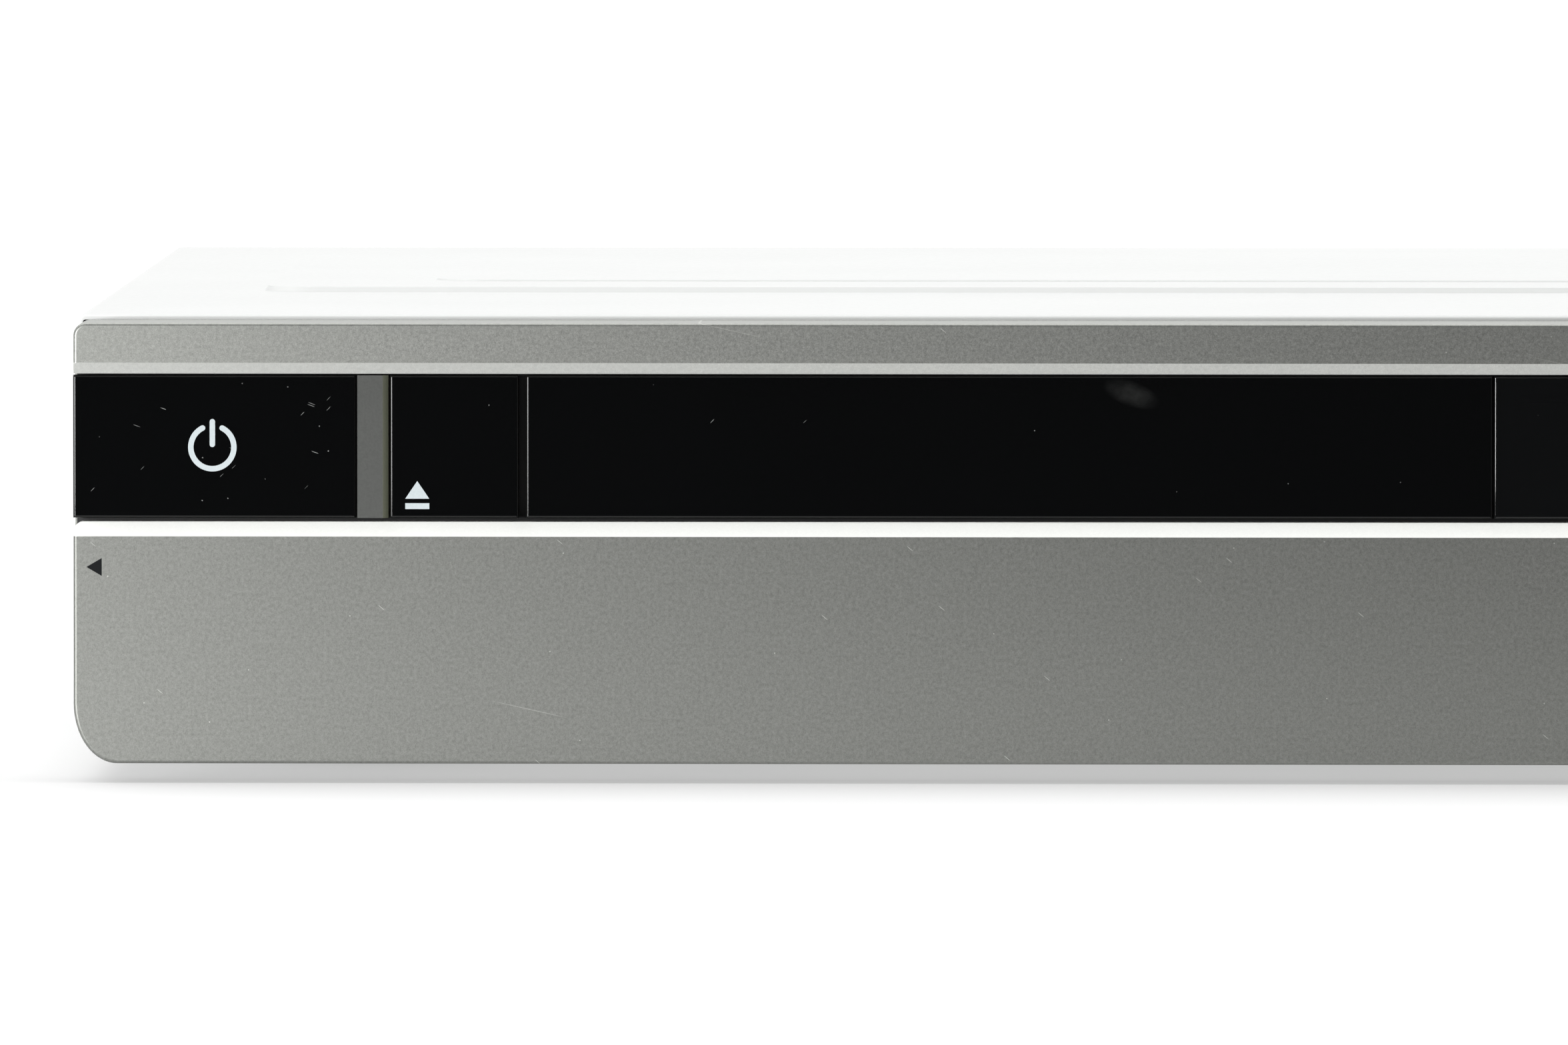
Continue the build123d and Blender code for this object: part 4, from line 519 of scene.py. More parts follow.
plasticLooks = {
    "rearPanelPaint": {
        "dark": (0.23, 0.235, 0.235),
        "light": (0.27, 0.275, 0.275),
        "grainSize": 0.35 * mm,
        "roughness": (0.36, 0.48),
        "depth": 0.008 * mm,
    },
    "blackPlastic": {"dark": (0.013, 0.013, 0.014), "light": (0.022, 0.022, 0.023)},
    "footPlastic": {
        "dark": (0.020, 0.020, 0.021),
        "light": (0.030, 0.030, 0.031),
        "grainSize": 0.3 * mm,
        "roughness": (0.45, 0.62),
    },
    "rubber": {
        "dark": (0.016, 0.016, 0.016),
        "light": (0.030, 0.030, 0.029),
        "grainSize": 0.25 * mm,
        "roughness": (0.75, 0.9),
        "depth": 0.02 * mm,
    },
    "acetal": {
        "dark": (0.72, 0.70, 0.64),
        "light": (0.80, 0.785, 0.73),
        "grainSize": 0.8 * mm,
        "roughness": (0.3, 0.4),
        "depth": 0.006 * mm,
        "through": 0.15,  # how much light passes into it
    },
}


# Moulded plastic: spark-eroded grain as bump and roughness, with a slow drift of shade.
def mouldedPlastic(
    name, dark, light, grainSize=0.45 * mm, roughness=(0.42, 0.6), depth=0.012 * mm, through=0.0
):
    look = {"IOR": 1.5, "Subsurface Weight": through, "Subsurface Scale": 0.002}
    material, tree, shader, place = newMaterial(name, look)
    pits = grain(tree, place, grainSize, 3.0, 0.6)
    drift = spread(tree, grain(tree, place, 18 * mm, 2.0))
    feed(
        tree, shader,
        colour=blended(tree, drift, dark, light),
        roughness=spread(tree, pits, *roughness),
    )
    raised(tree, shader, pits, depth, 0.6)
    return material


boardLook = {
    "resist": ((0.012, 0.075, 0.030), (0.020, 0.135, 0.052)),  # bare board's and copper's, as next
    "roughness": (0.34, 0.26),
    "tracksAlongY": (1.1 * mm, 17 * mm, 5 * mm),  # their size along X, Y and Z
    "tracksAlongX": (19 * mm, 1.1 * mm, 1.1 * mm),
    "tin": (0.62, 0.62, 0.60),
    "holeSpacing": 3.4 * mm,
    "tinned": (0.14, 0.17),  # how far the tin reaches round a hole's middle, in spacings
    "relief": 0.035 * mm,
}


# Solder resist over copper: tracks show as lighter bands where drawn-out noise passes a little over
# a half, with tinned holes at the middles of nearly half of the scattered cells.
def circuitBoard(name, look=boardLook):
    material, tree, shader, place = newMaterial(name, {"IOR": 1.5, "Coat Weight": 0.3})
    alongY = levels(tree, streaks(tree, place, look["tracksAlongY"], 0.0), 0.52, 0.54)
    alongX = levels(tree, streaks(tree, place, look["tracksAlongX"], 0.0), 0.54, 0.56)
    copper = larger(tree, alongY, alongX)
    holes = spots(tree, place, look["holeSpacing"])
    drilled = levels(tree, axisOf(tree, holes.outputs["Color"], 1), 0.55, 0.56)
    rims = levels(tree, holes.outputs["Distance"], *look["tinned"], 1.0, 0.0)
    tin = product(tree, rims, drilled)
    feed(
        tree, shader,
        colour=blended(tree, tin, blended(tree, copper, *look["resist"]), look["tin"]),
        metallic=tin,
        roughness=levels(tree, copper, 0, 1, *look["roughness"]),
    )
    raised(tree, shader, arithmetic(tree, "ADD", copper, tin), look["relief"], 0.5)
    return material


metalLooks = {
    "blackZinc": {"tint": (0.07, 0.07, 0.075), "roughness": (0.28, 0.42)},
    "nickel": {"tint": (0.70, 0.67, 0.58), "roughness": (0.16, 0.3)},
    "brightSteel": {"tint": (0.66, 0.66, 0.65), "roughness": (0.12, 0.22)},
    "aluminium": {"tint": (0.74, 0.75, 0.75), "roughness": (0.32, 0.48)},
}


def brightMetal(name, tint, roughness):  # plated or bright-turned metal with fine turning marks
    material, tree, shader, place = newMaterial(name, {"Metallic": 1.0})
    marks = grain(tree, place, 0.5 * mm, 4.0, 0.6)
    dark = tuple(0.86 * c for c in tint)
    feed(
        tree, shader,
        colour=blended(tree, spread(tree, marks), dark, tint),
        roughness=spread(tree, marks, *roughness),
    )
    raised(tree, shader, marks, 0.004 * mm, 0.4)
    return material


resinLooks = {
    "lensGlass": {"colour": (0.55, 0.62, 0.85), "roughness": 0.02},
    "lampResin": {"colour": (0.75, 0.85, 0.95), "roughness": 0.08},
    "tubeGlass": {"colour": (0.10, 0.12, 0.12), "roughness": 0.05},
}


def clearResin(name, colour, roughness):  # mostly clear, with a faint film on it
    look = {"Base Color": (*colour, 1), "IOR": 1.5, "Transmission Weight": 0.8}
    material, tree, shader, place = newMaterial(name, look)
    film = spread(tree, grain(tree, place, 2 * mm, 2.0), roughness, roughness + 0.08)
    feed(tree, shader, roughness=film)
    return material


cableLook = {
    "pitch": 1.0 * mm,
    "jacket": (0.62, 0.62, 0.60),
    "gap": (0.30, 0.30, 0.29),
    "edgeWire": (0.55, 0.05, 0.04),
    "relief": 0.2 * mm,
}


# Flat cable: white jacket with a fine line between each pair of wires, the edge wire coloured.
def flatCable(name, look=cableLook):
    material, tree, shader, place = newMaterial(name, {"Roughness": 0.45})
    along = axisOf(tree, place, 1)
    wires = arithmetic(tree, "PINGPONG", along, look["pitch"] / 2)
    gaps = below(tree, wires, 0.08 * mm)
    onEdge = below(tree, along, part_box("ribbon_cable")[0].y + 0.95 * mm, 0.05 * mm)
    jacket = blended(tree, onEdge, look["jacket"], look["edgeWire"])
    feed(tree, shader, colour=blended(tree, gaps, jacket, look["gap"]))
    raised(tree, shader, wires, look["relief"], 0.6)
    return material


# Masks for nodes with two finishes: 1 in the second, in the places that each one's note gives

stripLook = {"gap": 0.25 * mm, "width": 4.75 * mm, "bevel": 0.85 * mm}


def stripBevel(tree, place):  # the chamfer along each divider strip's side toward the middle
    innerSide = -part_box("power_button")[1].x - stripLook["gap"] - stripLook["width"]
    across = fromMiddle(tree, axisOf(tree, place, 0), 0.0)
    return below(tree, across, innerSide + stripLook["bevel"])


def windingMask(tree, place):  # the taped winding, which stands out in front of and behind the core
    low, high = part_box("transformer")
    away = fromMiddle(tree, axisOf(tree, place, 1), (low.y + high.y) / 2)
    return above(tree, away, 6.2 * mm, 0.1 * mm)


def heatsinkMask(tree, place):  # above the packages, where the fins stand
    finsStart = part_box("main_board_chips")[0].z + 2.4 * mm
    return above(tree, axisOf(tree, place, 2), finsStart, 0.1 * mm)


def topFacing(tree, place):  # faces that look up
    return levels(tree, facing(tree, 2), 0.85, 0.95)


twoFinishLooks = {
    "stripPlastic": {
        "mask": stripBevel,
        "first": (0.079, 0.082, 0.077),
        "second": (0.19, 0.20, 0.145),
        "roughness": (0.42, 0.36),
        "grainSize": 0.3 * mm,
    },
    "transformerCoreAndTape": {
        "mask": windingMask,
        "first": (0.055, 0.055, 0.06),
        "second": (0.62, 0.45, 0.06),
        "roughness": (0.55, 0.35),
    },
    "capacitorSleeves": {
        "mask": topFacing,
        "first": (0.012, 0.018, 0.035),
        "second": (0.72, 0.73, 0.73),
        "metal": (0, 1),
        "roughness": (0.3, 0.35),
    },
    "chipsAndHeatsink": {
        "mask": heatsinkMask,
        "first": (0.016, 0.016, 0.017),
        "second": (0.66, 0.67, 0.68),
        "metal": (0, 1),
        "roughness": (0.5, 0.4),
    },
}


# Two finishes in one node, told apart by the mask: the first gets a little lighter with the grain,
# and the second a little darker.
def twoFinishes(name, mask, first, second, roughness, metal=(0.0, 0.0), grainSize=0.4 * mm):
    material, tree, shader, place = newMaterial(name, {})
    which = mask(tree, place)
    pits = grain(tree, place, grainSize, 3.0)
    shade = spread(tree, pits, 0.0, 0.35)
    firstShaded = blended(tree, shade, first, tuple(min(1.0, 1.35 * c) for c in first))
    secondShaded = blended(tree, shade, second, tuple(0.8 * c for c in second))
    smoothness = levels(tree, which, 0, 1, *roughness)
    feed(
        tree, shader,
        colour=blended(tree, which, firstShaded, secondShaded),
        metallic=levels(tree, which, 0, 1, *metal),
        roughness=arithmetic(tree, "ADD", smoothness, spread(tree, pits, -0.06, 0.06)),
    )
    raised(tree, shader, pits, 0.01 * mm, 0.5)
    return material


def dress(material, *names):  # one material in every slot of the CAD nodes
    for name in names:
        mesh = nodes[name].data
        if not mesh.materials:
            mesh.materials.append(material)
        for number in range(len(mesh.materials)):
            mesh.materials[number] = material


zincs = {name: zincPlate(name, **look) for name, look in zincLooks.items()}
plastics = {name: mouldedPlastic(name, **look) for name, look in plasticLooks.items()}
metals = {name: brightMetal(name, **look) for name, look in metalLooks.items()}
resins = {name: clearResin(name, **look) for name, look in resinLooks.items()}
pairs = {name: twoFinishes(name, **look) for name, look in twoFinishLooks.items()}

dress(silverPaint("silverFlap", "front_flap", flapLook), "front_flap")
dress(silverPaint("silverBezel", "front_bezel", bezelLook), "front_bezel")
dress(blackGloss("blackGlossHandled", handled), "power_button")
dress(blackGloss("blackGloss", clean), "eject_button", "stop_button", "play_button", "tray_door")
dress(smokedWindow("smokedWindow"), "display_window")
dress(pairs["stripPlastic"], "divider_strips")
dress(whiteEnamel("whiteEnamel"), "top_cover")
dress(zincs["zincPlate"], "base_chassis", "loader_brackets", "clamp_bridge")
dress(
    zincs["traverseSteel"],
    "traverse_plate", "spindle_motor", "sled_motor", "loading_motor", "tuner_module",
)
dress(plastics["rearPanelPaint"], "rear_panel")
dress(plastics["footPlastic"], "feet")
dress(plastics["rubber"], "foot_pads", "loading_belt")
dress(plastics["acetal"], "tray_gear", "pulley_gear", "motor_pulley")
dress(
    plastics["blackPlastic"],
    "flap_damper", "flap_catch", "jack_housings", "front_data_sockets", "loader_frame", "disc_tray",
    "clamper", "cam_slider", "turntable", "optical_pickup", "scart_sockets", "mains_inlet",
    "fan_frame", "fan_rotor", "key_switches",
)
dress(metals["blackZinc"], "case_screws", "foot_screws", "loader_screws")
dress(metals["nickel"], "jack_barrels")
dress(metals["brightSteel"], "guide_rods", "lead_screw", "flap_hinge_pins")
dress(metals["aluminium"], "power_heatsinks")
dress(
    circuitBoard("circuitBoard"),
    "key_board", "display_board", "jack_board", "power_board", "main_board",
)
dress(flatCable("flatCable"), "ribbon_cable")
dress(resins["lensGlass"], "objective_lens")
dress(resins["lampResin"], "indicator_lamps")
dress(resins["tubeGlass"], "display_module")
dress(pairs["transformerCoreAndTape"], "transformer")
dress(pairs["capacitorSleeves"], "power_capacitors")
dress(pairs["chipsAndHeatsink"], "main_board_chips")
print("materials assigned")


# Prints on the keys and the flap, with their sizes in millimetres

printLook = {"white": (0.66, 0.73, 0.75), "dark": (0.005, 0.006, 0.007), "roughness": 0.42}


def plainPrint(name, colour):  # screen-printed ink: its film is a little uneven
    material, tree, shader, place = newMaterial(name, {"Specular IOR Level": 0.15})
    film = spread(tree, grain(tree, place, 0.3 * mm, 2.0))
    middling = printLook["roughness"]
    feed(
        tree, shader,
        colour=blended(tree, film, tuple(0.93 * c for c in colour), colour),
        roughness=levels(tree, film, 0, 1, middling - 0.05, middling + 0.05),
    )
    return material


# Outline of a stroke with round ends that follows an arc or a line: the path moved out by half the
# stroke on one side, a half circle, the path moved in on the way back, and a second half circle.
def strokeOutline(path, width, ends=8):
    path = np.asarray(path, float)
    along = np.gradient(path, axis=0)
    along /= np.linalg.norm(along, axis=1)[:, None]
    side = np.stack([-along[:, 1], along[:, 0]], axis=1) * width / 2
    turns = np.linspace(0, np.pi, ends + 2)[1:-1, None]
    last = path[-1] + side[-1] * np.cos(turns) + along[-1] * np.sin(turns) * width / 2
    first = path[0] - side[0] * np.cos(turns) - along[0] * np.sin(turns) * width / 2
    return np.concatenate([path + side, last, (path - side)[::-1], first])


def rectangle(left, right, lower, upper):  # its corners, from the lower left and round by the right
    return [(left, lower), (right, lower), (right, upper), (left, upper)]


def frontOf(name):  # middle of a node's front face: X, Y of the face, Z
    low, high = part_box(name)
    return (low.x + high.x) / 2, low.y, (low.z + high.z) / 2


def finishPrint(piece, material, body):  # a print moves with its body
    piece.data.materials.append(material)
    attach(piece, body)


white = plainPrint("whitePrint", printLook["white"])
darkInk = plainPrint("darkPrint", printLook["dark"])

powerLook = {
    "radius": 3.30,  # middle of the stroke
    "left": 0.3,  # ring's middle, from the key's
    "drop": 0.1,
    "stroke": 0.84,
    "gap": 27.0,  # degrees each side of the top, to the stroke's middle
    "barLow": 0.43,  # bar's ends above the ring's middle, without their round caps
    "barHigh": 3.91,
    "points": 60,
}
x, y, z = frontOf("power_button")
x -= powerLook["left"] * mm
z -= powerLook["drop"] * mm
stroke, radius = powerLook["stroke"] * mm, powerLook["radius"] * mm
angles = np.radians(np.linspace(90 + powerLook["gap"], 450 - powerLook["gap"], powerLook["points"]))
ring = np.stack([x + radius * np.cos(angles), z + radius * np.sin(angles)], axis=1)
barEnds = z + np.array([powerLook["barLow"], powerLook["barHigh"]]) * mm
bar = np.stack([np.full(2, x), barEnds], axis=1)
ringStroke = printed("ringStroke", strokeOutline(ring, stroke)[::-1], y)
barStroke = printed("barStroke", strokeOutline(bar, stroke)[::-1], y)
powerMark = joined("powerMark", [ringStroke, barStroke])
finishPrint(powerMark, white, "power_key")

ejectLook = {
    "fromLeft": 4.18,
    "halfWidth": 1.84,
    "base": 2.96,  # the triangle's, above the key's lower edge
    "apex": 5.68,
    "barLow": 1.38,
    "barHigh": 2.28,
}
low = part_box("eject_button")[0]
middle, wide = low.x + ejectLook["fromLeft"] * mm, ejectLook["halfWidth"] * mm
left, right = middle - wide, middle + wide
base, apex, barLow, barHigh = (
    low.z + ejectLook[edge] * mm for edge in ("base", "apex", "barLow", "barHigh")
)
triangle = [(left, base), (right, base), (middle, apex)]
ejectTriangle = printed("ejectTriangle", triangle[::-1], low.y)
ejectBar = printed("ejectBar", rectangle(left, right, barLow, barHigh)[::-1], low.y)
ejectMark = joined("ejectMark", [ejectTriangle, ejectBar])
finishPrint(ejectMark, white, "eject_key")

stopLook = {"fromRight": 4.18, "base": 1.7, "side": 3.3}
low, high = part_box("stop_button")
middle, side = high.x - stopLook["fromRight"] * mm, stopLook["side"] * mm
base = low.z + stopLook["base"] * mm
square = rectangle(middle - side / 2, middle + side / 2, base, base + side)
finishPrint(printed("stopMark", square[::-1], low.y), white, "stop_key")

playLook = {"back": 2.9, "tip": 3.5, "halfHeight": 3.6}
x, y, z = frontOf("play_button")
back, tip, half = (playLook[reach] * mm for reach in ("back", "tip", "halfHeight"))
arrow = [(x - back, z - half), (x + tip, z), (x - back, z + half)]
finishPrint(printed("playMark", arrow[::-1], y), white, "play_key")

pointerLook = {"fromLeft": 2.0, "length": 2.34, "belowTop": 6.9, "halfHeight": 1.37}
low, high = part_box("front_flap")
apex = low.x + pointerLook["fromLeft"] * mm
level = high.z - pointerLook["belowTop"] * mm
back = apex + pointerLook["length"] * mm
half = pointerLook["halfHeight"] * mm
pointer = [(apex, level), (back, level - half), (back, level + half)]
finishPrint(printed("flapPointer", pointer[::-1], low.y), darkInk, "flap")
print("prints laid on")


# Screws: the CAD's heads and shanks again, with the cross recess

screwLook = {
    "head": 3.1 * mm,
    "shank": 1.45 * mm,
    "cross": 0.34 * mm,  # half width of the recess's arms
    "reach": 1.75 * mm,
    "recess": 0.75 * mm,
    "tip": 0.6 * mm,  # length of the shank's pointed end
    "pole": 0.02 * mm,  # the small flat at each end's middle
    "turns": 72,
    "domeRings": 26,
}


# A screw: stations run from the shank's tip up its side, out under the head, round the rim and over
# the dome to the middle, and each is turned round the axis. On the dome, height = head - bulge *
# (r / R) squared, less the recess where the nearer of the two arms is closer than its half width
# and r is within the cross's reach.
def screwSkin(name, place, toward, height, bulge, length=0.0, look=screwLook):
    axis = np.asarray(toward, float)
    across = np.array([0.0, 1.0, 0.0]) if abs(axis[1]) < 0.5 else np.array([0.0, 0.0, 1.0])
    upward = np.cross(axis, across)
    head, shank, pole, cross = look["head"], look["shank"], look["pole"], look["cross"]
    radii = np.linspace(0.97 * head, pole, look["domeRings"])
    domes = height - bulge * (radii / head) ** 2
    rod = [(pole, -length), (0.6 * shank, -length), (shank, look["tip"] - length), (shank, 0.0)]
    under = (rod if length else [(pole, 0.0)]) + [(head, 0.0), (head, domes[0] - 0.08 * mm)]
    profile = np.concatenate([np.array(under), np.stack([radii, domes], axis=1)])
    angles = np.linspace(0, 2 * np.pi, look["turns"], endpoint=False)
    r, h = profile[:, :1], np.repeat(profile[:, 1:], look["turns"], axis=1)
    a, b = r * np.cos(angles), r * np.sin(angles)
    arm = np.clip((cross * 1.2 - np.minimum(abs(a), abs(b))) / (0.4 * cross), 0, 1)
    within = np.clip((look["reach"] - r) / (0.35 * mm), 0, 1)
    onDome = (np.arange(len(profile)) >= len(under))[:, None]
    h = h - look["recess"] * arm * within * onDome
    points = np.asarray(place) + a[..., None] * across + b[..., None] * upward + h[..., None] * axis
    return skin(name, points)


flatHead = {"height": 0.95 * mm, "bulge": 0.25 * mm}
roundHead = {"height": 1.6 * mm, "bulge": 0.95 * mm}
footHead = {"height": 1.8 * mm, "bulge": 0.7 * mm}
screwPlaces = {
    "sideDepths": (60 * mm, 280 * mm),  # behind the front's face
    "rearMargin": 35 * mm,
    "fanSpread": 16 * mm,
    "length": 5 * mm,
    "fanLength": 8 * mm,
}

head = screwLook["head"]
low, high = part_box("case_screws")
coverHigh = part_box("top_cover")[1]
fanLow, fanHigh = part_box("fan_frame")
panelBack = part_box("rear_panel")[1].y
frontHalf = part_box("play_button")[1].x
length, fanLength = screwPlaces["length"], screwPlaces["fanLength"]
parts = []
for side in (-1, 1):
    for depth in screwPlaces["sideDepths"]:
        place = (side * coverHigh.x, cadLow.y + depth, low.z + head)
        parts.append(screwSkin("sideScrew", place, (side, 0, 0), length=length, **flatHead))
for x in (screwPlaces["rearMargin"] - frontHalf, 0.0, frontHalf - screwPlaces["rearMargin"]):
    place = (x, coverHigh.y, high.z - head)
    parts.append(screwSkin("rearScrew", place, (0, 1, 0), length=length, **roundHead))
for across in (-1, 1):
    for rise in (-1, 1):
        x = (fanLow.x + fanHigh.x) / 2 + across * screwPlaces["fanSpread"]
        z = (fanLow.z + fanHigh.z) / 2 + rise * screwPlaces["fanSpread"]
        place = (x, panelBack, z)
        parts.append(screwSkin("fanScrew", place, (0, 1, 0), length=fanLength, **roundHead))
caseScrews = joined("caseScrews", parts)
caseScrews.data.materials.append(metals["blackZinc"])
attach(caseScrews, "case")
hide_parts("case_screws")

low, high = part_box("foot_screws")
parts = []
for x in (low.x + head, high.x - head):
    for y in (low.y + head, high.y - head):
        place = (x, y, low.z + footHead["height"])
        length = high.z - place[2]
        parts.append(screwSkin("footScrew", place, (0, 0, -1), length=length, **footHead))
footScrews = joined("footScrews", parts)
footScrews.data.materials.append(metals["blackZinc"])
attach(footScrews, "case")
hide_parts("foot_screws")

bridgeLook = {
    **screwLook,
    "head": 2.4 * mm,
    "cross": 0.27 * mm,
    "reach": 1.3 * mm,
    "recess": 0.55 * mm,
}
head = bridgeLook["head"]
low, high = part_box("loader_screws")
bridgeHead = {"height": high.z - low.z, "bulge": 0.6 * mm}
parts = []
for x in (low.x + head, high.x - head):
    for y in (low.y + head, high.y - head):
        place = (x, y, low.z)
        parts.append(screwSkin("bridgeScrew", place, (0, 0, 1), look=bridgeLook, **bridgeHead))
loaderScrews = joined("loaderScrews", parts)
loaderScrews.data.materials.append(metals["blackZinc"])
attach(loaderScrews, "case")
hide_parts("loader_screws")
print("screws made")


# The pickup's lead screw, with its thread

threadLook = {
    "lead": 3 * mm,
    "depth": 0.34 * mm,
    "plainEnd": 2.5 * mm,
    "runOut": 0.8 * mm,  # over which the groove gets its full depth
    "stations": 420,
    "turns": 28,
}

# Radius = rod - depth * ((1 + cos(angle of the lead so far + angle round the rod)) / 2) cubed, and
# the plain rod at both ends.
low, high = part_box("lead_screw")
rod = (high.x - low.x) / 2
along = np.linspace(low.y, high.y, threadLook["stations"])[:, None]
angles = np.linspace(0, 2 * np.pi, threadLook["turns"], endpoint=False)
groove = ((1 + np.cos(2 * np.pi * along / threadLook["lead"] + angles)) / 2) ** 3
fromEnd = np.minimum(along - low.y, high.y - along) - threadLook["plainEnd"]
radius = rod - threadLook["depth"] * groove * np.clip(fromEnd / threadLook["runOut"], 0, 1)
points = np.stack([
    (low.x + high.x) / 2 + radius * np.cos(angles),
    np.repeat(along, threadLook["turns"], axis=1),
    (low.z + high.z) / 2 - radius * np.sin(angles),
], axis=-1)
leadScrew = skin("leadScrew", points)
leadScrew.data.materials.append(metals["brightSteel"])
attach(leadScrew, "screw")
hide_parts("lead_screw")
print("lead screw made")


# Coloured rings on the jacks' cores

ringLook = {
    "barrel": 4.15 * mm,
    "inner": 1.75 * mm,
    "outer": 3.2 * mm,
    "proud": 0.25 * mm,
    "turns": 40,
    "setback": 1.2 * mm,  # core's face, behind the barrel's end
    "frontPitch": 13 * mm,
    "rearPitch": 14 * mm,
    "frontRise": 23 * mm,  # front jacks' axis, above the flap's lower edge
    "yellow": (0.72, 0.52, 0.02),
    "white": (0.75, 0.75, 0.72),
    "red": (0.55, 0.02, 0.02),
}


# A ring: its section, a small rectangle with its outer corners cut, is carried round the jack's
# axis. Point = place + (cos, 0, sin) of the angle * the section's radius + Y * its height.
def ringSkin(name, place, toward, look=ringLook):
    inner, outer, proud = look["inner"], look["outer"], look["proud"]
    cut = 0.3 * proud
    rim = [(outer, 0), (outer, proud - cut), (outer - cut, proud)]
    bore = [(inner + cut, proud), (inner, proud - cut)]
    section = np.array([(inner, 0), *rim, *bore])
    angles = toward * np.linspace(0, 2 * np.pi, look["turns"], endpoint=False)
    points = np.empty((len(angles), len(section), 3))
    points[..., 0] = place[0] + np.cos(angles)[:, None] * section[:, 0]
    points[..., 1] = place[1] + toward * section[:, 1]
    points[..., 2] = place[2] + np.sin(angles)[:, None] * section[:, 0]
    return skin(name, points, looped=True, smooth=False)


low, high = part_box("jack_barrels")
barrel, setback = ringLook["barrel"], ringLook["setback"]
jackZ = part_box("front_flap")[0].z + ringLook["frontRise"]
rings = {"yellow": [], "white": [], "red": []}
for column, colour in enumerate(rings):
    x = low.x + barrel + column * ringLook["frontPitch"]
    rings[colour].append(ringSkin("frontRing", (x, low.y + setback, jackZ), -1))
    for row in range(2):
        x = high.x - barrel - (2 - column) * ringLook["rearPitch"]
        z = high.z - barrel - row * ringLook["rearPitch"]
        rings[colour].append(ringSkin("rearRing", (x, high.y - setback, z), 1))
for colour, parts in rings.items():
    jackRings = joined("jackRings_" + colour, parts)
    shade = tuple(0.85 * c for c in ringLook[colour])
    jackRings.data.materials.append(mouldedPlastic("ring_" + colour, shade, ringLook[colour]))
    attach(jackRings, "case")
print("jack rings made")


# Studio

studio = {
    "floorAlbedo": 0.53,
    "floorFibre": 1.2 * mm,
    "floorGlow": 0.41,  # the table is lit from below too, so the shadow under the deck stays light
    "floorFront": -0.33,  # table's near end: past it the front reflects the room's dim end
    "floorBack": 0.75,
    "floorSide": 9.0,
    "dome": 1.15,
    "dimEnd": 0.05,
    "domeBack": (-0.40, 0.10),  # the room turns pale where a direction's Y, or its Z, passes these
    "domeTop": (0.72, 0.92),
    "overhead": {
        "place": (0.0, 0.10, 1.15),
        "size": (2.4, 1.5),
        "power": 12.0,
        "aim": (0.0, 0.10, 0.0),
    },
    "leftKey": {
        "place": (-0.56, -0.76, 0.085),
        "size": (0.30, 0.15),
        "power": 3.9,
        "aim": (-0.16, -0.165, 0.04),
    },
}

mesh = bpy.data.meshes.new("floor")
side, near, far = studio["floorSide"], studio["floorFront"], studio["floorBack"]
corners = [(-side, near, 0), (side, near, 0), (side, far, 0), (-side, far, 0)]
mesh.from_pydata(corners, [], [(0, 1, 2, 3)])
floor = inScene("floor", mesh)
floorLook = {
    "Roughness": 0.75,
    "Specular IOR Level": 0.2,
    "Emission Color": (1, 1, 1, 1),
    "Emission Strength": studio["floorGlow"],
}
paper, tree, shader, place = newMaterial("floorPaper", floorLook)
fibre = spread(tree, grain(tree, place, studio["floorFibre"], 3.0))
pale = (studio["floorAlbedo"],) * 3
feed(tree, shader, colour=blended(tree, fibre, tuple(0.985 * c for c in pale), pale))
mesh.materials.append(paper)
floor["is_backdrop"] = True


def areaLight(name, look):  # a soft box that the camera doesn't see, turned toward its aim
    light = bpy.data.lights.new(name, "AREA")
    light.shape = "RECTANGLE"
    light.size, light.size_y = look["size"]
    light.energy = look["power"]
    lamp = inScene(name, light)
    lamp.location = look["place"]
    toward = Vector(look["aim"]) - Vector(look["place"])
    lamp.rotation_euler = toward.to_track_quat("-Z", "Y").to_euler()
    lamp.visible_camera = False


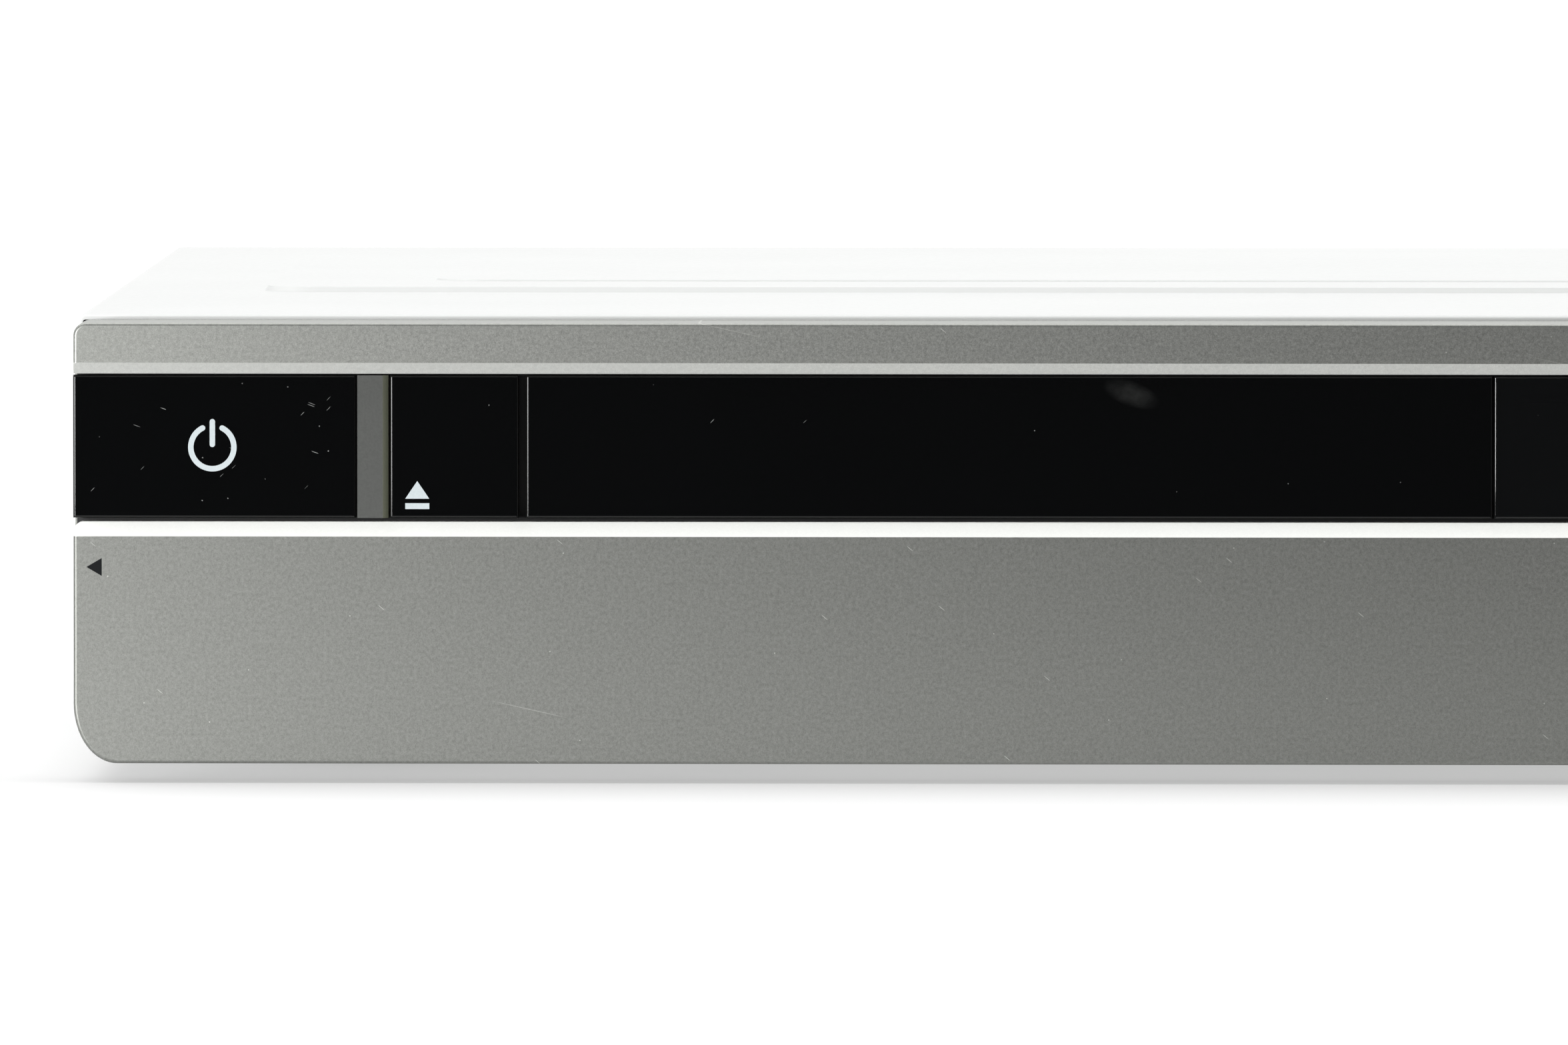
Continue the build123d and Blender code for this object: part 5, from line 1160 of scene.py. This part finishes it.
areaLight("overheadBox", studio["overhead"])
areaLight("leftKey", studio["leftKey"])

# The room: a pale dome over the back, the sides and the top, dim toward the front. The camera sees
# it pale all round.
world = bpy.data.worlds.new("room")
scene.world = world
world.use_nodes = True
tree = world.node_tree
direction = tree.nodes.new("ShaderNodeTexCoord").outputs["Generated"]
towardBack = levels(tree, axisOf(tree, direction, 1), *studio["domeBack"])
towardTop = levels(tree, axisOf(tree, direction, 2), *studio["domeTop"])
seen = tree.nodes.new("ShaderNodeLightPath").outputs["Is Camera Ray"]
pale = larger(tree, seen, larger(tree, towardBack, towardTop))
dome, dim = (studio["dome"],) * 3, (studio["dimEnd"],) * 3
tree.links.new(blended(tree, pale, dim, dome), tree.nodes["Background"].inputs["Color"])
print("studio lit")


# Camera, where the photograph's stood

cameraLook = {
    "distance": 4100.0,  # in front of the silver face, in millimetres, as the next four are
    "height": 219.5,
    "across": 0.0,
    "aimX": -106.07,
    "aimZ": 40.03,
    "pixelsPerMm": 9.81,  # on the silver face, in the photograph's pixels
    "imageWidth": 2352,
    "sensorWidth": 36.0,
    "clip": (0.1, 60.0),
}
front = cadLow.y
start = Vector((
    cameraLook["across"] * mm, front - cameraLook["distance"] * mm, cameraLook["height"] * mm
))
aim = Vector((cameraLook["aimX"] * mm, front, cameraLook["aimZ"] * mm))
lens = bpy.data.cameras.new("camera")
camera = inScene("camera", lens)
camera.location = start
camera.rotation_mode = "QUATERNION"
camera.rotation_quaternion = (aim - start).to_track_quat("-Z", "Y")
# Focal length = sensor's width * pixels per mm * distance in mm / image's width.
lens.sensor_width = cameraLook["sensorWidth"]
viewPixels = cameraLook["pixelsPerMm"] * (aim - start).length / mm
lens.lens = viewPixels / cameraLook["imageWidth"] * lens.sensor_width
lens.clip_start, lens.clip_end = cameraLook["clip"]
scene.camera = camera
scene.view_settings.view_transform = "Standard"
scene.view_settings.look = "None"
print("camera at", tuple(round(v, 3) for v in start), "lens", round(lens.lens, 1))

low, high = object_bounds()
